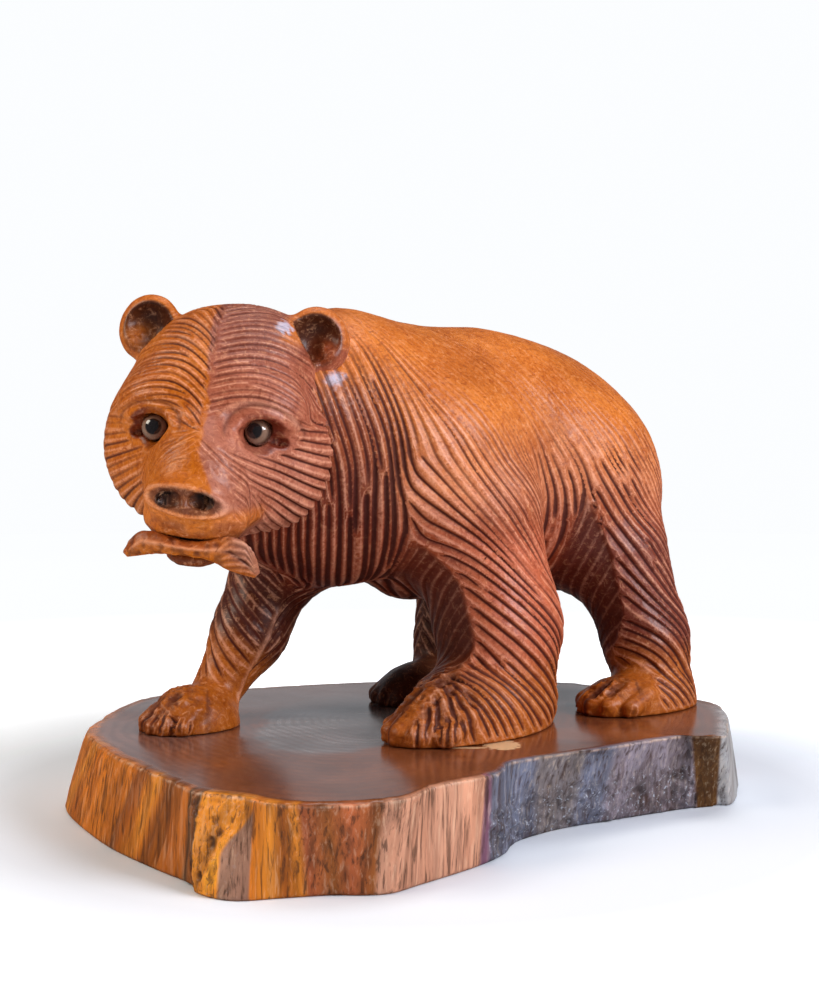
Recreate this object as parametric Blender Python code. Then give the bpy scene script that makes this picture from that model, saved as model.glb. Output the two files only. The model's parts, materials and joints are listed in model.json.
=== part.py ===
"""Carved wooden bear, walking with a salmon across its jaws, on a natural-edge plinth.

Sizes below are in millimetres in the carver's frame: +X is the bear's left side, the bear
faces -Y, +Z is up, and Z = 0 is the top of the plinth.  finish_object() turns them into
metres, with the origin in the middle of the plinth's underside.
"""
import math

import bmesh
import bpy
import numpy as np
from mathutils import Euler, Matrix, Vector

# ---- driving dimensions (mm) --------------------------------------------------------------
PLINTH_THICK = 28.0
GAP = 0.3                       # clearance between pieces that touch
BASE_VOXEL = 2.6                # first skin over the masses
SKIN_VOXEL = 1.5                # skin that takes the carving
BEAR_FACES = 7700               # about what the bear is thinned to

HEAD_AT = Vector((9.6, -95.6, 106.5))
HEAD_TURN = 50.0                # degrees, towards the bear's left
HEAD_NOD = 4.0                  # nose down
HEAD_LEAN = 4.5                 # crown towards the bear's left
EYE_AT = Vector((16.2, -27.5, -0.4))     # in the head's own frame, mirrored for the right eye
EYE_OFF = {1.0: Vector((-0.5, 0, 0.6)), -1.0: Vector((-0.4, 0, -0.5))}  # set by hand, not true
EYE_RADIUS = 4.3

HEAD_MATRIX = (Matrix.Translation(HEAD_AT)
               @ Euler((0, 0, math.radians(HEAD_TURN))).to_matrix().to_4x4()
               @ Euler((math.radians(HEAD_NOD), 0, 0)).to_matrix().to_4x4()
               @ Euler((0, math.radians(HEAD_LEAN), 0)).to_matrix().to_4x4())


# ---- masses: the blocked-out form ---------------------------------------------------------
class Egg:
    """An ellipsoid: middle, half sizes, turn in degrees, and how softly it joins the rest."""

    def __init__(self, at, radii, turn=(0, 0, 0), blend=8.0, frame=None):
        local = Matrix.Translation(Vector(at)) @ Euler(
            [math.radians(a) for a in turn]).to_matrix().to_4x4()
        self.matrix = (frame @ local) if frame else local
        self.radii = np.array(radii, float)
        self.blend = blend
        self.middle = np.array(self.matrix.translation)
        self.reach = float(max(radii))
        self.rotation = np.array(self.matrix.to_3x3())

    def distance(self, points):
        local = (points - self.middle) @ self.rotation
        scaled = local / self.radii
        near = np.sqrt((scaled ** 2).sum(1)) + 1e-9
        slope = np.sqrt(((scaled / self.radii) ** 2).sum(1)) + 1e-9
        return near * (near - 1.0) / slope

    def skin(self, bm):
        size = Matrix.Diagonal((*self.radii, 1.0))
        bmesh.ops.create_icosphere(bm, subdivisions=4, radius=1.0, matrix=self.matrix @ size)


class Limb:
    """A tapered bar with round ends, from one point and radius to another."""

    def __init__(self, start, end, start_radius, end_radius, blend=8.0, frame=None):
        start, end = Vector(start), Vector(end)
        if frame:
            start, end = frame @ start, frame @ end
        self.start = np.array(start)
        self.end = np.array(end)
        self.radii = (start_radius, end_radius)
        self.blend = blend
        self.middle = (self.start + self.end) / 2
        self.reach = float((end - start).length / 2 + max(self.radii))

    def distance(self, points):
        axis = self.end - self.start
        along = np.clip((points - self.start) @ axis / (axis @ axis), 0.0, 1.0)
        nearest = self.start + along[:, None] * axis
        radius = self.radii[0] + (self.radii[1] - self.radii[0]) * along
        return np.sqrt(((points - nearest) ** 2).sum(1)) - radius

    def skin(self, bm):
        start, end = Vector(self.start), Vector(self.end)
        steps = max(2, int((end - start).length / 4))
        for step in range(steps + 1):
            share = step / steps
            radius = self.radii[0] + (self.radii[1] - self.radii[0]) * share
            bmesh.ops.create_icosphere(bm, subdivisions=3, radius=radius,
                                       matrix=Matrix.Translation(start.lerp(end, share)))


def mirrored(make):
    """The same mass on the left (+1) and on the right (-1) of its frame."""
    return [make(1.0), make(-1.0)]


def paw(heel, toe, width, height=17.0, toes=5):
    """A paw flat on the plinth: palm, a row of knuckled toes and their claws."""
    heel, toe = Vector((*heel, 0.0)), Vector((*toe, 0.0))
    forward = (toe - heel).normalized()
    side = Vector((-forward.y, forward.x, 0.0))
    length = (toe - heel).length
    turn = math.degrees(math.atan2(-forward.x, forward.y))
    parts = [Egg(heel.lerp(toe, 0.45) + Vector((0, 0, 1.0)),
                 (width * 0.48, length * 0.52, height), (0, 0, turn), blend=6.0)]
    radius = width / toes * 0.56
    for index in range(toes):
        across = (index - (toes - 1) / 2) / (toes - 1) * 2          # -1 .. 1
        reach = 1.0 - 0.15 * across ** 2
        out = side * across * width * 0.37
        knuckle = heel + forward * length * 0.70 * reach + out * 0.9
        tip = heel + forward * length * 0.93 * reach + out
        claw = heel + forward * length * 1.0 * reach + out * 1.05
        knuckle.z = height * (0.66 - 0.12 * across ** 2)
        tip.z = radius * 0.9
        claw.z = 0.8
        parts.append(Limb(knuckle, tip, radius, radius * 0.95, blend=1.5))
        parts.append(Limb(tip, claw, radius * 0.5, 0.8, blend=0.8))
    return parts


def body_masses():
    return [
        Egg((0, 17, 97), (41, 55, 47), blend=18),                    # barrel
        Egg((0, 55.5, 88.5), (37.5, 46, 46), blend=18),              # rump
        Egg((0, -26, 111), (30, 34, 32), blend=18),                  # withers
        Egg((2, -45, 115), (26, 20, 31), blend=12),                  # nape
        Egg((0, -40, 91), (35, 36, 42), blend=18),                   # chest
        Limb((0, -40, 102), (6, -80, 104), 36, 33, blend=18),        # neck
        Limb((-4, -52, 78), (9, -88, 84), 24, 19, blend=12),         # throat
        Egg((0, -9, 57), (18, 19, 15.5), blend=8),                   # between the front legs
    ]


def leg_masses():
    return [
        # front left, standing and broad
        Egg((27, -16, 86), (24, 29, 34), blend=18),
        Limb((31, -4, 72), (36, 3, 34), 24, 21, blend=10),
        Limb((36, 3, 34), (36.5, 5, 10), 21.5, 19, blend=10),
        Egg((40.5, -10, 6), (21.5, 35, 19), (0, 0, 20), blend=8),
        # front right, reaching forward
        Egg((-23, -42, 82), (19, 24, 32), blend=18),
        Limb((-26, -46, 66), (-26, -63, 31), 19, 12.4, blend=10),
        Limb((-26, -63, 31), (-27.5, -76, 11), 12.4, 9, blend=8),
        # rear left, pushing off
        Egg((23, 62.5, 79), (22, 30, 34), blend=18),
        Limb((32, 68, 56), (41, 74, 26), 20, 15.5, blend=10),
        Limb((41, 74, 26), (43.5, 76, 10), 15.5, 15, blend=8),
        # rear right, stepping forward
        Egg((-23, 50, 68), (20, 30, 32), blend=16),
        Limb((-24, 36, 52), (-25, 29.5, 24), 21, 11.5, blend=12),
        Limb((-25, 29.5, 24), (-25, 25, 10), 11.5, 10.5, blend=8),
        *paw((47, 7), (50.5, -57), 36, 17),
        *paw((-21.5, -75), (-17, -110), 28, 14),
        *paw((49, 86), (50.5, 33.5), 32, 13),
        *paw((-20, 29), (-12.5, -14), 28, 14),
    ]


def head_masses():
    head = HEAD_MATRIX
    masses = [
        Egg((0, 0, 1.5), (32.5, 33, 37.5), blend=10, frame=head),               # skull
        Egg((13, 3, 25.5), (15, 20, 11.5), blend=10, frame=head),               # left of the crown
        Egg((0, -32, -8), (12, 16, 13), (24, 0, 0), blend=10, frame=head),      # bridge
        Limb((0, -20, -16), (0, -38, -20.5), 22, 16.5, blend=8, frame=head),    # muzzle
        Egg((-1.2, -50.5, -20.3), (12.6, 6, 7.8), blend=2, frame=head),         # nose pad
        Egg((0, -42, -27.5), (14.5, 9.5, 6), blend=4, frame=head),              # upper lip
        Egg((0, -36, -37.9), (9.0, 12.5, 3.6), (4, 0, 0), blend=3, frame=head),  # lower jaw
    ]
    masses += mirrored(lambda s: Egg((s * 19.5, 0, -11), (18.5, 19, 23), (0, s * 14, 0),
                                     blend=10, frame=head))                     # cheek ruff
    masses += mirrored(lambda s: Egg((s * 17, -23, 9), (11, 7, 6), (0, s * 10, 0),
                                     blend=13, frame=head))                     # brow
    masses += mirrored(lambda s: Egg((s * 27.9 + 1.4, 4, 29.5), (11, 5, 11.3), (-8, 0, s * 16),
                                     blend=3, frame=head))                      # ear
    return masses


def cuts():
    head = HEAD_MATRIX
    hollows = mirrored(lambda s: Egg((s * 28.2 + 1.4, -1.8, 30.2), (8.2, 6.6, 8.3), (-8, 0, s * 16),
                                     blend=1.2, frame=head))                    # ear cup
    hollows += mirrored(lambda s: Egg((s * 18.0, -32, -0.8), (8.0, 5.5, 5.9), (0, s * 18, s * 22),
                                      blend=1.5, frame=head))                   # eye socket
    hollows += mirrored(lambda s: Egg((s * 5.2 - 1.2, -56.5, -19.6), (3.3, 4, 2.3),
                                      blend=0.8, frame=head))                   # nostril
    hollows.append(Egg((0, -50, -34), (16, 16, 1.6), blend=2, frame=head))      # mouth
    return hollows


# ---- the field: one smooth solid from all the masses ---------------------------------------
FAR = 60.0                      # the field's value away from every mass


def soft_union(near, other, blend):
    mix = np.maximum(blend - np.abs(near - other), 0.0) / blend
    return np.minimum(near, other) - mix * mix * blend * 0.25


def near_sphere(points, mass, margin):
    return ((points - mass.middle) ** 2).sum(1) < (mass.reach + mass.blend + margin) ** 2


def group_value(points, masses):
    value = np.full(len(points), FAR)
    for mass in masses:
        close = near_sphere(points, mass, 8.0)
        value[close] = soft_union(value[close], mass.distance(points[close]), mass.blend)
    return value


def field_value(points, form):
    """Signed distance, near enough, to the blended form; negative inside."""
    value = np.full(len(points), FAR)
    for masses, blend in form.groups:
        value = soft_union(value, group_value(points, masses), blend)
    for hollow in form.hollows:
        close = near_sphere(points, hollow, 6.0)
        value[close] = -soft_union(-value[close], hollow.distance(points[close]), hollow.blend)
    return value


class Form:
    """Groups of masses, each with how softly the group meets the others, less hollows."""

    def __init__(self, groups, hollows=()):
        self.groups = groups
        self.hollows = hollows


TETRAHEDRON = np.array(((1, -1, -1), (-1, -1, 1), (-1, 1, -1), (1, 1, 1)), float)


def field_slope(points, form, step=0.25):
    """Value and gradient from four samples around each point."""
    slope = np.zeros_like(points)
    total = np.zeros(len(points))
    for corner in TETRAHEDRON:
        sample = field_value(points + corner * step, form)
        slope += corner * sample[:, None]
        total += sample
    return total / 4, slope / (4 * step)


def settle(points, form, rounds):
    """Move points onto the zero level of the field."""
    for _ in range(rounds):
        value, slope = field_slope(points, form)
        steep = np.maximum((slope ** 2).sum(1), 0.3)
        move = slope * (value / steep)[:, None]
        length = np.sqrt((move ** 2).sum(1))
        limit = np.minimum(1.0, 3.0 / np.maximum(length, 1e-9))
        points = points - move * limit[:, None]
    return points


# ---- mesh helpers ---------------------------------------------------------------------------
def get_points(mesh):
    flat = np.empty(len(mesh.vertices) * 3, np.float32)
    mesh.vertices.foreach_get("co", flat)
    return flat.reshape(-1, 3).astype(float)


def set_points(mesh, points):
    mesh.vertices.foreach_set("co", np.asarray(points, np.float32).ravel())
    mesh.update()


def new_object(name, mesh):
    obj = bpy.data.objects.new(name, mesh)
    bpy.context.scene.collection.objects.link(obj)
    return obj


def bake(obj):
    """Apply the object's modifiers to its mesh."""
    bpy.context.view_layer.update()
    graph = bpy.context.evaluated_depsgraph_get()
    mesh = bpy.data.meshes.new_from_object(obj.evaluated_get(graph), depsgraph=graph)
    obj.modifiers.clear()
    old = obj.data
    obj.data = mesh
    bpy.data.meshes.remove(old)
    return obj


def remesh(obj, voxel):
    modifier = obj.modifiers.new("skin", "REMESH")
    modifier.mode = "VOXEL"
    modifier.voxel_size = voxel
    modifier.adaptivity = 0.0
    return bake(obj)


def thin(obj, faces):
    count = sum(len(p.vertices) - 2 for p in obj.data.polygons)
    modifier = obj.modifiers.new("thin", "DECIMATE")
    modifier.ratio = min(1.0, faces / count)
    return bake(obj)


def carve_form(name, form, base_voxel, skin_voxel):
    """Skin the masses, settle the skin on the blended form, and even its mesh out."""
    bm = bmesh.new()
    for masses, _ in form.groups:
        for mass in masses:
            mass.skin(bm)
    mesh = bpy.data.meshes.new(name)
    bm.to_mesh(mesh)
    bm.free()
    obj = new_object(name, mesh)
    for voxel, rounds in ((base_voxel, 4), (skin_voxel, 3), (skin_voxel, 2)):
        remesh(obj, voxel)
        set_points(obj.data, settle(get_points(obj.data), form, rounds))
    return obj


# ---- fur: furrows cut with a V gouge -------------------------------------------------------
FUR_PITCH = 5.4                 # between neighbouring furrows on the face
FLANK_PITCH = 7.4
LEG_PITCH = 8.6
FUR_DEPTH = 1.5
SKULL_RADIUS = 36.0             # furrows on the face are spaced along this sphere
BACK_TOP = 146.0
FLANK_BEND = 105.0              # radius of the arc the flank's lines follow
# where each leg's lines start in front, how steeply they rise to the rear, and their seed
FORE_LEFT = (-24.0, 0.75, 11.0)
HIND_LEFT = (46.0, 0.95, 12.0)
FORE_RIGHT = (-80.0, 0.65, 13.0)
HIND_RIGHT = (12.0, 0.95, 14.0)


def smooth(low, high, value):
    share = np.clip((value - low) / (high - low), 0.0, 1.0)
    return share * share * (3.0 - 2.0 * share)


def scatter(number, seed):
    """A repeatable random share, 0 to 1, for each whole number."""
    wave = np.sin(number * 12.9898 + seed * 78.233) * 43758.5453
    return wave - np.floor(wave)


def furrows(across, along, pitch, length, seed):
    """Depth share of staggered V cuts that run out at both ends."""
    row = np.floor(across / pitch)
    inside = across / pitch - row
    travel = along / length + scatter(row, seed)
    stroke = np.floor(travel)
    place = travel - stroke
    strength = 0.7 + 0.3 * scatter(row * 7.0 + stroke, seed + 1.0)
    run_out = np.clip(np.minimum(place, 1.0 - place) * 6.0, 0.0, 1.0)
    valley = np.clip(1.0 - np.abs(inside - 0.5) / 0.36, 0.0, 1.0)
    return strength * run_out * valley


def head_coordinates(points):
    """Left, up and forward in the head's own frame."""
    local = (points - np.array(HEAD_AT)) @ np.array(HEAD_MATRIX.to_3x3())
    return local[:, 0], local[:, 2], -local[:, 1]


def head_fur(points):
    left, up, forward = head_coordinates(points)
    side = np.abs(left)
    radius = np.sqrt(left ** 2 + up ** 2 + forward ** 2) + 1e-6
    eye = np.array((EYE_AT.x, EYE_AT.z, -EYE_AT.y)) / EYE_AT.length
    cosine = (side * eye[0] + up * eye[1] + forward * eye[2]) / radius
    from_eye = SKULL_RADIUS * np.arccos(np.clip(cosine, -1.0, 1.0))
    around_eye = SKULL_RADIUS * np.arctan2(up, side - EYE_AT.x)
    brow = furrows(from_eye, around_eye, FUR_PITCH, 50.0, 3.0)
    brow = brow * smooth(4.0, 8.0, up) * smooth(8.0, 10.0, from_eye)
    spread = np.arctan2(up + 4.0, side) + side * 0.004
    rays = furrows(spread * 30.0, side, FUR_PITCH, 40.0, 5.0)
    rays = rays * smooth(7.0, 3.0, up) * smooth(13.0, 18.0, side) * smooth(7.5, 9.5, from_eye)
    face = smooth(45.0, 40.0, radius) * smooth(-16.0, -8.0, forward)
    return np.maximum(brow * 0.8, rays) * face


def flank_fur(points, normals):
    """Lines leave the spine at a slant and bend down towards the belly."""
    fall = np.clip((BACK_TOP - points[:, 2]) / FLANK_BEND, 0.0, 1.0)
    back = points[:, 1] - FLANK_BEND * np.sqrt(1.0 - (1.0 - fall) ** 2)
    side_on = furrows(back, points[:, 2], FLANK_PITCH, 42.0, 7.0)
    side_on = side_on * smooth(0.8, 0.6, np.abs(normals[:, 1]))
    rear_on = furrows(points[:, 0], points[:, 2], FLANK_PITCH, 45.0, 9.0)
    rear_on = rear_on * smooth(0.6, 0.8, np.abs(normals[:, 1]))
    depth = 0.2 + 0.6 * smooth(0.12, 0.5, fall)
    return np.maximum(side_on, rear_on) * depth


def leg_fur(points, normals, lines):
    """Slanting lines across the outside of a leg, steeper towards its rear edge."""
    front, slope, seed = lines
    behind = points[:, 1] - front
    level = points[:, 2] + slope * behind + 0.006 * behind ** 2
    cut = furrows(level, behind, LEG_PITCH, 60.0, seed)
    return cut * smooth(0.1, 0.35, np.abs(normals[:, 0]) + 0.5 * np.abs(normals[:, 1]))


def fur_depth(points, normals, form):
    """How deep the gouge cuts at each point, in mm."""
    body = group_value(points, form.groups[0][0])
    head = group_value(points, form.groups[1][0])
    on_head = smooth(-0.5, 1.0, body - head)
    height = points[:, 2]
    on_leg = smooth(72.0, 60.0, height)
    left = smooth(-2.0, 2.0, points[:, 0])
    fore = smooth(40.0, 36.0, points[:, 1])
    legs = left * fore * leg_fur(points, normals, FORE_LEFT)
    legs += left * (1 - fore) * leg_fur(points, normals, HIND_LEFT)
    ahead = smooth(-4.0, -8.0, points[:, 1])
    legs += (1 - left) * ahead * leg_fur(points, normals, FORE_RIGHT)
    legs += (1 - left) * (1 - ahead) * leg_fur(points, normals, HIND_RIGHT)
    legs *= smooth(14.0, 19.0, height)
    coat = legs * on_leg + flank_fur(points, normals) * (1.0 - on_leg)
    return FUR_DEPTH * (head_fur(points) * on_head + coat * (1.0 - on_head))


def carve_fur(obj, form):
    points = get_points(obj.data)
    _, slope = field_slope(points, form)
    normals = slope / np.maximum(np.sqrt((slope ** 2).sum(1)), 1e-6)[:, None]
    set_points(obj.data, points - normals * fur_depth(points, normals, form)[:, None])


def cut_flat(obj, height):
    """Cut everything below a level away and close the cut."""
    bm = bmesh.new()
    bm.from_mesh(obj.data)
    bmesh.ops.bisect_plane(bm, geom=bm.verts[:] + bm.edges[:] + bm.faces[:],
                           plane_co=(0, 0, height), plane_no=(0, 0, 1), clear_inner=True)
    bmesh.ops.holes_fill(bm, edges=[e for e in bm.edges if e.is_boundary])
    bmesh.ops.triangulate(bm, faces=[f for f in bm.faces if len(f.verts) > 4])
    bm.to_mesh(obj.data)
    bm.free()


# ---- eyes, fish and plinth ------------------------------------------------------------------
def eye_place(side):
    return Vector((side * EYE_AT.x, EYE_AT.y, EYE_AT.z)) + EYE_OFF[side]


def eye_ball(name, side, grow=0.0):
    """A glass eye, round, set in its socket."""
    bm = bmesh.new()
    at = eye_place(side)
    bmesh.ops.create_uvsphere(bm, u_segments=14, v_segments=8, radius=EYE_RADIUS + grow,
                              matrix=HEAD_MATRIX @ Matrix.Translation(at))
    return object_from(bm, name)


# along the fish from its head to the tip of its broad tail, in the head's own frame:
# left, up, forward, half height, half thickness
FISH_LINE = [
    (-19.8, -38.9, 46.5, 0.9, 0.8),
    (-17.4, -36.4, 47.5, 3.0, 1.8),
    (-14.0, -34.0, 48.3, 4.3, 2.3),
    (-8.8, -34.1, 49.0, 3.2, 2.6),
    (-4.0, -34.6, 49.5, 2.6, 2.6),
    (0.5, -34.9, 49.8, 2.4, 2.5),
    (5.0, -35.0, 49.8, 2.8, 2.3),
    (8.8, -34.8, 49.4, 4.1, 2.0),
    (12.6, -34.9, 48.8, 5.9, 1.5),
    (17.2, -37.9, 48.0, 4.8, 1.1),
    (21.0, -42.0, 47.0, 1.1, 0.7),
]
FISH_SIDES = 12


def fish(name, grow=0.0):
    """A small salmon lofted along a bent line, from its head to its broad tail."""
    bm = bmesh.new()
    line = [Vector((left, -forward, up)) for left, up, forward, _, _ in FISH_LINE]
    rings = []
    for index, (_, _, _, tall, thick) in enumerate(FISH_LINE):
        ahead = line[min(index + 1, len(line) - 1)]
        behind = line[max(index - 1, 0)]
        along = (ahead - behind).normalized()
        out = Vector((0, -1, 0))
        high = along.cross(out).normalized() * -1.0
        ring = []
        for side in range(FISH_SIDES):
            angle = 2 * math.pi * side / FISH_SIDES
            rise, depth = math.sin(angle), math.cos(angle)
            point = line[index] + high * rise * (tall + grow) + out * depth * (thick + grow)
            if grow and index in (0, len(line) - 1):
                point += along * (grow if index else -grow)
            ring.append(bm.verts.new(HEAD_MATRIX @ point))
        rings.append(ring)
    for one, other in zip(rings, rings[1:]):
        for side in range(FISH_SIDES):
            after = (side + 1) % FISH_SIDES
            bm.faces.new((one[side], one[after], other[after], other[side]))
    low = 3 * FISH_SIDES // 4
    for ring in (rings[0], rings[-1]):
        turned = ring[low:] + ring[:low]
        for step in range(FISH_SIDES // 2):
            corners = (turned[step], turned[step + 1], turned[-1 - step], turned[-step])
            bm.faces.new(list(dict.fromkeys(corners)))
    bmesh.ops.recalc_face_normals(bm, faces=bm.faces[:])
    return object_from(bm, name)


# the slab's outline from above, with where its underside comes out below each point
PLINTH_EDGE = [
    ((-53, -110), (-62, -114)),
    ((-33, -124), (-41, -129)),
    ((2, -133), (4, -138)),
    ((35, -136), (35, -139)),
    ((57, -138), (60, -138)),
    ((67, -137), (70, -141)),
    ((78, -131), (82, -137)),
    ((91, -128), (88, -126)),
    ((101, -120), (95, -112)),
    ((110, -99), (104, -99)),
    ((103, -80), (103, -85)),
    ((102, -60), (99, -60)),
    ((99, -50), (94, -45)),
    ((92, -41), (86, -33)),
    ((92, -24), (83, -18)),
    ((94, -6), (83, -3)),
    ((95, 24), (87, 26)),
    ((97, 35), (90, 46)),
    ((105, 44), (93, 56)),
    ((100, 53), (94, 64)),
    ((73, 83), (72, 92)),
    ((52, 93), (52, 104)),
    ((2, 85), (-1, 92)),
    ((-12, 79), (-17, 86)),
    ((-40, 50), (-45, 54)),
    ((-61, 18), (-67, 19)),
    ((-78, -28), (-85, -29)),
    ((-86, -66), (-93, -68)),
    ((-75, -88), (-83, -93)),
]
EDGE_STEPS = 3                  # smooth steps between neighbouring outline points
SLAB_LEVELS = (0.0, -0.9, -9.0, -18.5, -27.3, -PLINTH_THICK)
EDGE_ROUND = 0.8
EDGE_CHOP = 0.9                 # how far the bark side's facets stand in and out


def catmull(points, steps):
    """A smooth closed line through the points."""
    smooth_line = []
    count = len(points)
    for index in range(count):
        before, start, end, after = (points[(index + k) % count] for k in (-1, 0, 1, 2))
        for step in range(steps):
            t = step / steps
            smooth_line.append(0.5 * ((2 * start) + (end - before) * t
                                      + (2 * before - 5 * start + 4 * end - after) * t ** 2
                                      + (3 * start - before - 3 * end + after) * t ** 3))
    return smooth_line


def plinth(name):
    """A slab sawn across a trunk: flat above and below, its sides the outside of the tree."""
    top = catmull([Vector(upper) for upper, _ in PLINTH_EDGE], EDGE_STEPS)
    bottom = catmull([Vector(lower) for _, lower in PLINTH_EDGE], EDGE_STEPS)
    bm = bmesh.new()
    rings = []
    for index, level in enumerate(SLAB_LEVELS):
        share = -level / PLINTH_THICK
        at_face = index in (0, len(SLAB_LEVELS) - 1)
        ring = []
        for place, (upper, lower) in enumerate(zip(top, bottom)):
            point = upper.lerp(lower, share ** 0.8)
            chop = scatter(float(place), 21.0) - 0.5 + scatter(place * 5.0 + index, 22.0) - 0.5
            out = point.normalized()
            if at_face:
                point = point - out * EDGE_ROUND
            ring.append(bm.verts.new((*(point + out * chop * EDGE_CHOP), level)))
        rings.append(ring)
    for upper, lower in zip(rings, rings[1:]):
        for place in range(len(upper)):
            after = (place + 1) % len(upper)
            bm.faces.new((upper[place], lower[place], lower[after], upper[after]))
    bm.faces.new(rings[0])
    bm.faces.new(rings[-1][::-1])
    bmesh.ops.triangulate(bm, faces=[f for f in bm.faces if len(f.verts) > 4])
    bmesh.ops.recalc_face_normals(bm, faces=bm.faces[:])
    return object_from(bm, name)


def object_from(bm, name):
    mesh = bpy.data.meshes.new(name)
    bm.to_mesh(mesh)
    bm.free()
    return new_object(name, mesh)


def subtract(obj, cutter):
    """Cut one closed mesh out of another and drop the cutter."""
    modifier = obj.modifiers.new("cut", "BOOLEAN")
    modifier.operation = "DIFFERENCE"
    modifier.solver = "EXACT"
    modifier.object = cutter
    bake(obj)
    bpy.data.objects.remove(cutter, do_unlink=True)


# ---- finish ---------------------------------------------------------------------------------
def material(name, colour, roughness, metallic=0.0):
    made = bpy.data.materials.new(name)
    made.use_nodes = True
    shader = made.node_tree.nodes["Principled BSDF"]
    shader.inputs["Base Color"].default_value = (*colour, 1.0)
    shader.inputs["Roughness"].default_value = roughness
    shader.inputs["Metallic"].default_value = metallic
    return made


def finish_object(obj, shift, finish):
    """Millimetres to metres, with the origin under the middle of the plinth."""
    set_points(obj.data, (get_points(obj.data) + np.array(shift)) * 0.001)
    obj.data.materials.clear()
    obj.data.materials.append(finish)
    obj.data.shade_smooth()
    obj.data.set_sharp_from_angle(angle=math.radians(35))


def main():
    for obj in list(bpy.data.objects):
        bpy.data.objects.remove(obj, do_unlink=True)

    form = Form([(body_masses() + leg_masses(), 1.0), (head_masses(), 4.0)], cuts())
    bear = carve_form("bear", form, BASE_VOXEL, SKIN_VOXEL)
    carve_fur(bear, form)
    thin(bear, BEAR_FACES)
    cut_flat(bear, GAP)
    subtract(bear, fish("fish_cut", GAP))
    for side in (1.0, -1.0):
        subtract(bear, eye_ball("eye_cut", side, GAP))

    eye_left = eye_ball("eye_left", 1.0)
    eye_right = eye_ball("eye_right", -1.0)
    salmon = fish("fish")
    slab = plinth("plinth")

    corners = get_points(slab.data)
    middle = (corners.min(0) + corners.max(0)) / 2
    shift = (-middle[0], -middle[1], PLINTH_THICK)
    bear_wood = material("bear_wood", (0.36, 0.115, 0.035), 0.38)
    fish_wood = material("fish_wood", (0.50, 0.17, 0.045), 0.40)
    plinth_wood = material("plinth_wood", (0.26, 0.075, 0.022), 0.30)
    eye_glass = material("eye_glass", (0.05, 0.022, 0.010), 0.06)
    for obj, finish in ((bear, bear_wood), (salmon, fish_wood), (slab, plinth_wood),
                        (eye_left, eye_glass), (eye_right, eye_glass)):
        finish_object(obj, shift, finish)
    return shift


main()
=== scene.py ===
"""The carved bear in full: gouged fur, glass eyes, the salmon and the natural-edge plinth.

The shapes are worked in millimetres in the carver's frame: +X is the bear's left side, the
bear faces -Y, +Z is up, and Z = 0 is the top of the plinth.  SHIFT takes them to the frame.
"""

import contextlib
import itertools
import json
import math
import random

import bmesh
import bpy
import numpy as np
from mathutils import Euler, Matrix, Vector
from mathutils.kdtree import KDTree

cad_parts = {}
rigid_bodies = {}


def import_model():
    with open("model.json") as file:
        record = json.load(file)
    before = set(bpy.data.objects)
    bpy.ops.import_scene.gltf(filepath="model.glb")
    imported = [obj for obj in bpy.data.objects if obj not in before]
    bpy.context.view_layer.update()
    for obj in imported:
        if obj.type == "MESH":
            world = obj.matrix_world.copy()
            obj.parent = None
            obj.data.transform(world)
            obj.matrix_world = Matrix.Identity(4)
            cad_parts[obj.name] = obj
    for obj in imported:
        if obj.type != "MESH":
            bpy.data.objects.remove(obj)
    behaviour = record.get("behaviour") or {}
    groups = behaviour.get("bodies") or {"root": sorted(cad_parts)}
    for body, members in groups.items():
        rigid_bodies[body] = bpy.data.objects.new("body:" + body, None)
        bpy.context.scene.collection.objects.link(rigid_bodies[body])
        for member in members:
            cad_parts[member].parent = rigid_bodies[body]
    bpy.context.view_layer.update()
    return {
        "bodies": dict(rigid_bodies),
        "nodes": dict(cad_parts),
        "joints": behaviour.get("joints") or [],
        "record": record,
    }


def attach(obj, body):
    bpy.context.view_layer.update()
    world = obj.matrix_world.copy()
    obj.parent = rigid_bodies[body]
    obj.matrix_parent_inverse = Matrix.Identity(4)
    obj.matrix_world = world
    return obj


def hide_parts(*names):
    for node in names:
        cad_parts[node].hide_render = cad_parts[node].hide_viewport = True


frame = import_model()

# ---- driving dimensions (mm) --------------------------------------------------------------
PLINTH_THICK = 28.0
SHIFT = np.array((-8.8226, 18.2589, PLINTH_THICK))
GAP = 0.3                       # clearance between pieces that touch
BASE_VOXEL = 2.6                # first skin over the masses
BODY_VOXELS = (1.5, 0.53)       # skin that the strokes are laid out on, skin that they cut
HEAD_VOXELS = (1.1, 0.5)
BODY_REACH = (90, 160)          # shortest and longest run of a stroke, in steps
HEAD_REACH = (70, 130)
SIDE_FACES = (195000, 150000)   # left side, right side
HEAD_FACES = (150000,)
SEAM = -4.0                     # x of the plane between the two sides of the body

HEAD_AT = Vector((9.6, -95.6, 106.5))
HEAD_TURN = 50.0                # degrees, towards the bear's left
HEAD_NOD = 4.0                  # nose down
HEAD_LEAN = 4.5                 # crown towards the bear's left
EYE_AT = Vector((16.2, -27.5, -0.4))     # in the head's own frame, mirrored for the right eye
EYE_OFF = {1.0: Vector((-0.5, 0, 0.6)), -1.0: Vector((-0.4, 0, -0.5))}  # each sits a bit off
EYE_RADIUS = 4.3
NOSE_AT = (-1.2, -20.1)         # left and up, in the head's own frame
NOSE_SIZE = (11.7, 4.0)
NOSE_LEAN = 1.3                 # how far its left end hangs below its middle
NOSE_FRONT = (47.5, 50.0)       # how far forward the pad begins and is reached in full
CROWN_SHIFT = 1.4               # how far both ears sit to the left
LEFT_FRONT = np.array((-0.788, 0.616, 0.0))     # into the carving from its left front

HEAD_MATRIX = (Matrix.Translation(HEAD_AT)
               @ Euler((0, 0, math.radians(HEAD_TURN))).to_matrix().to_4x4()
               @ Euler((math.radians(HEAD_NOD), 0, 0)).to_matrix().to_4x4()
               @ Euler((0, math.radians(HEAD_LEAN), 0)).to_matrix().to_4x4())


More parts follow.
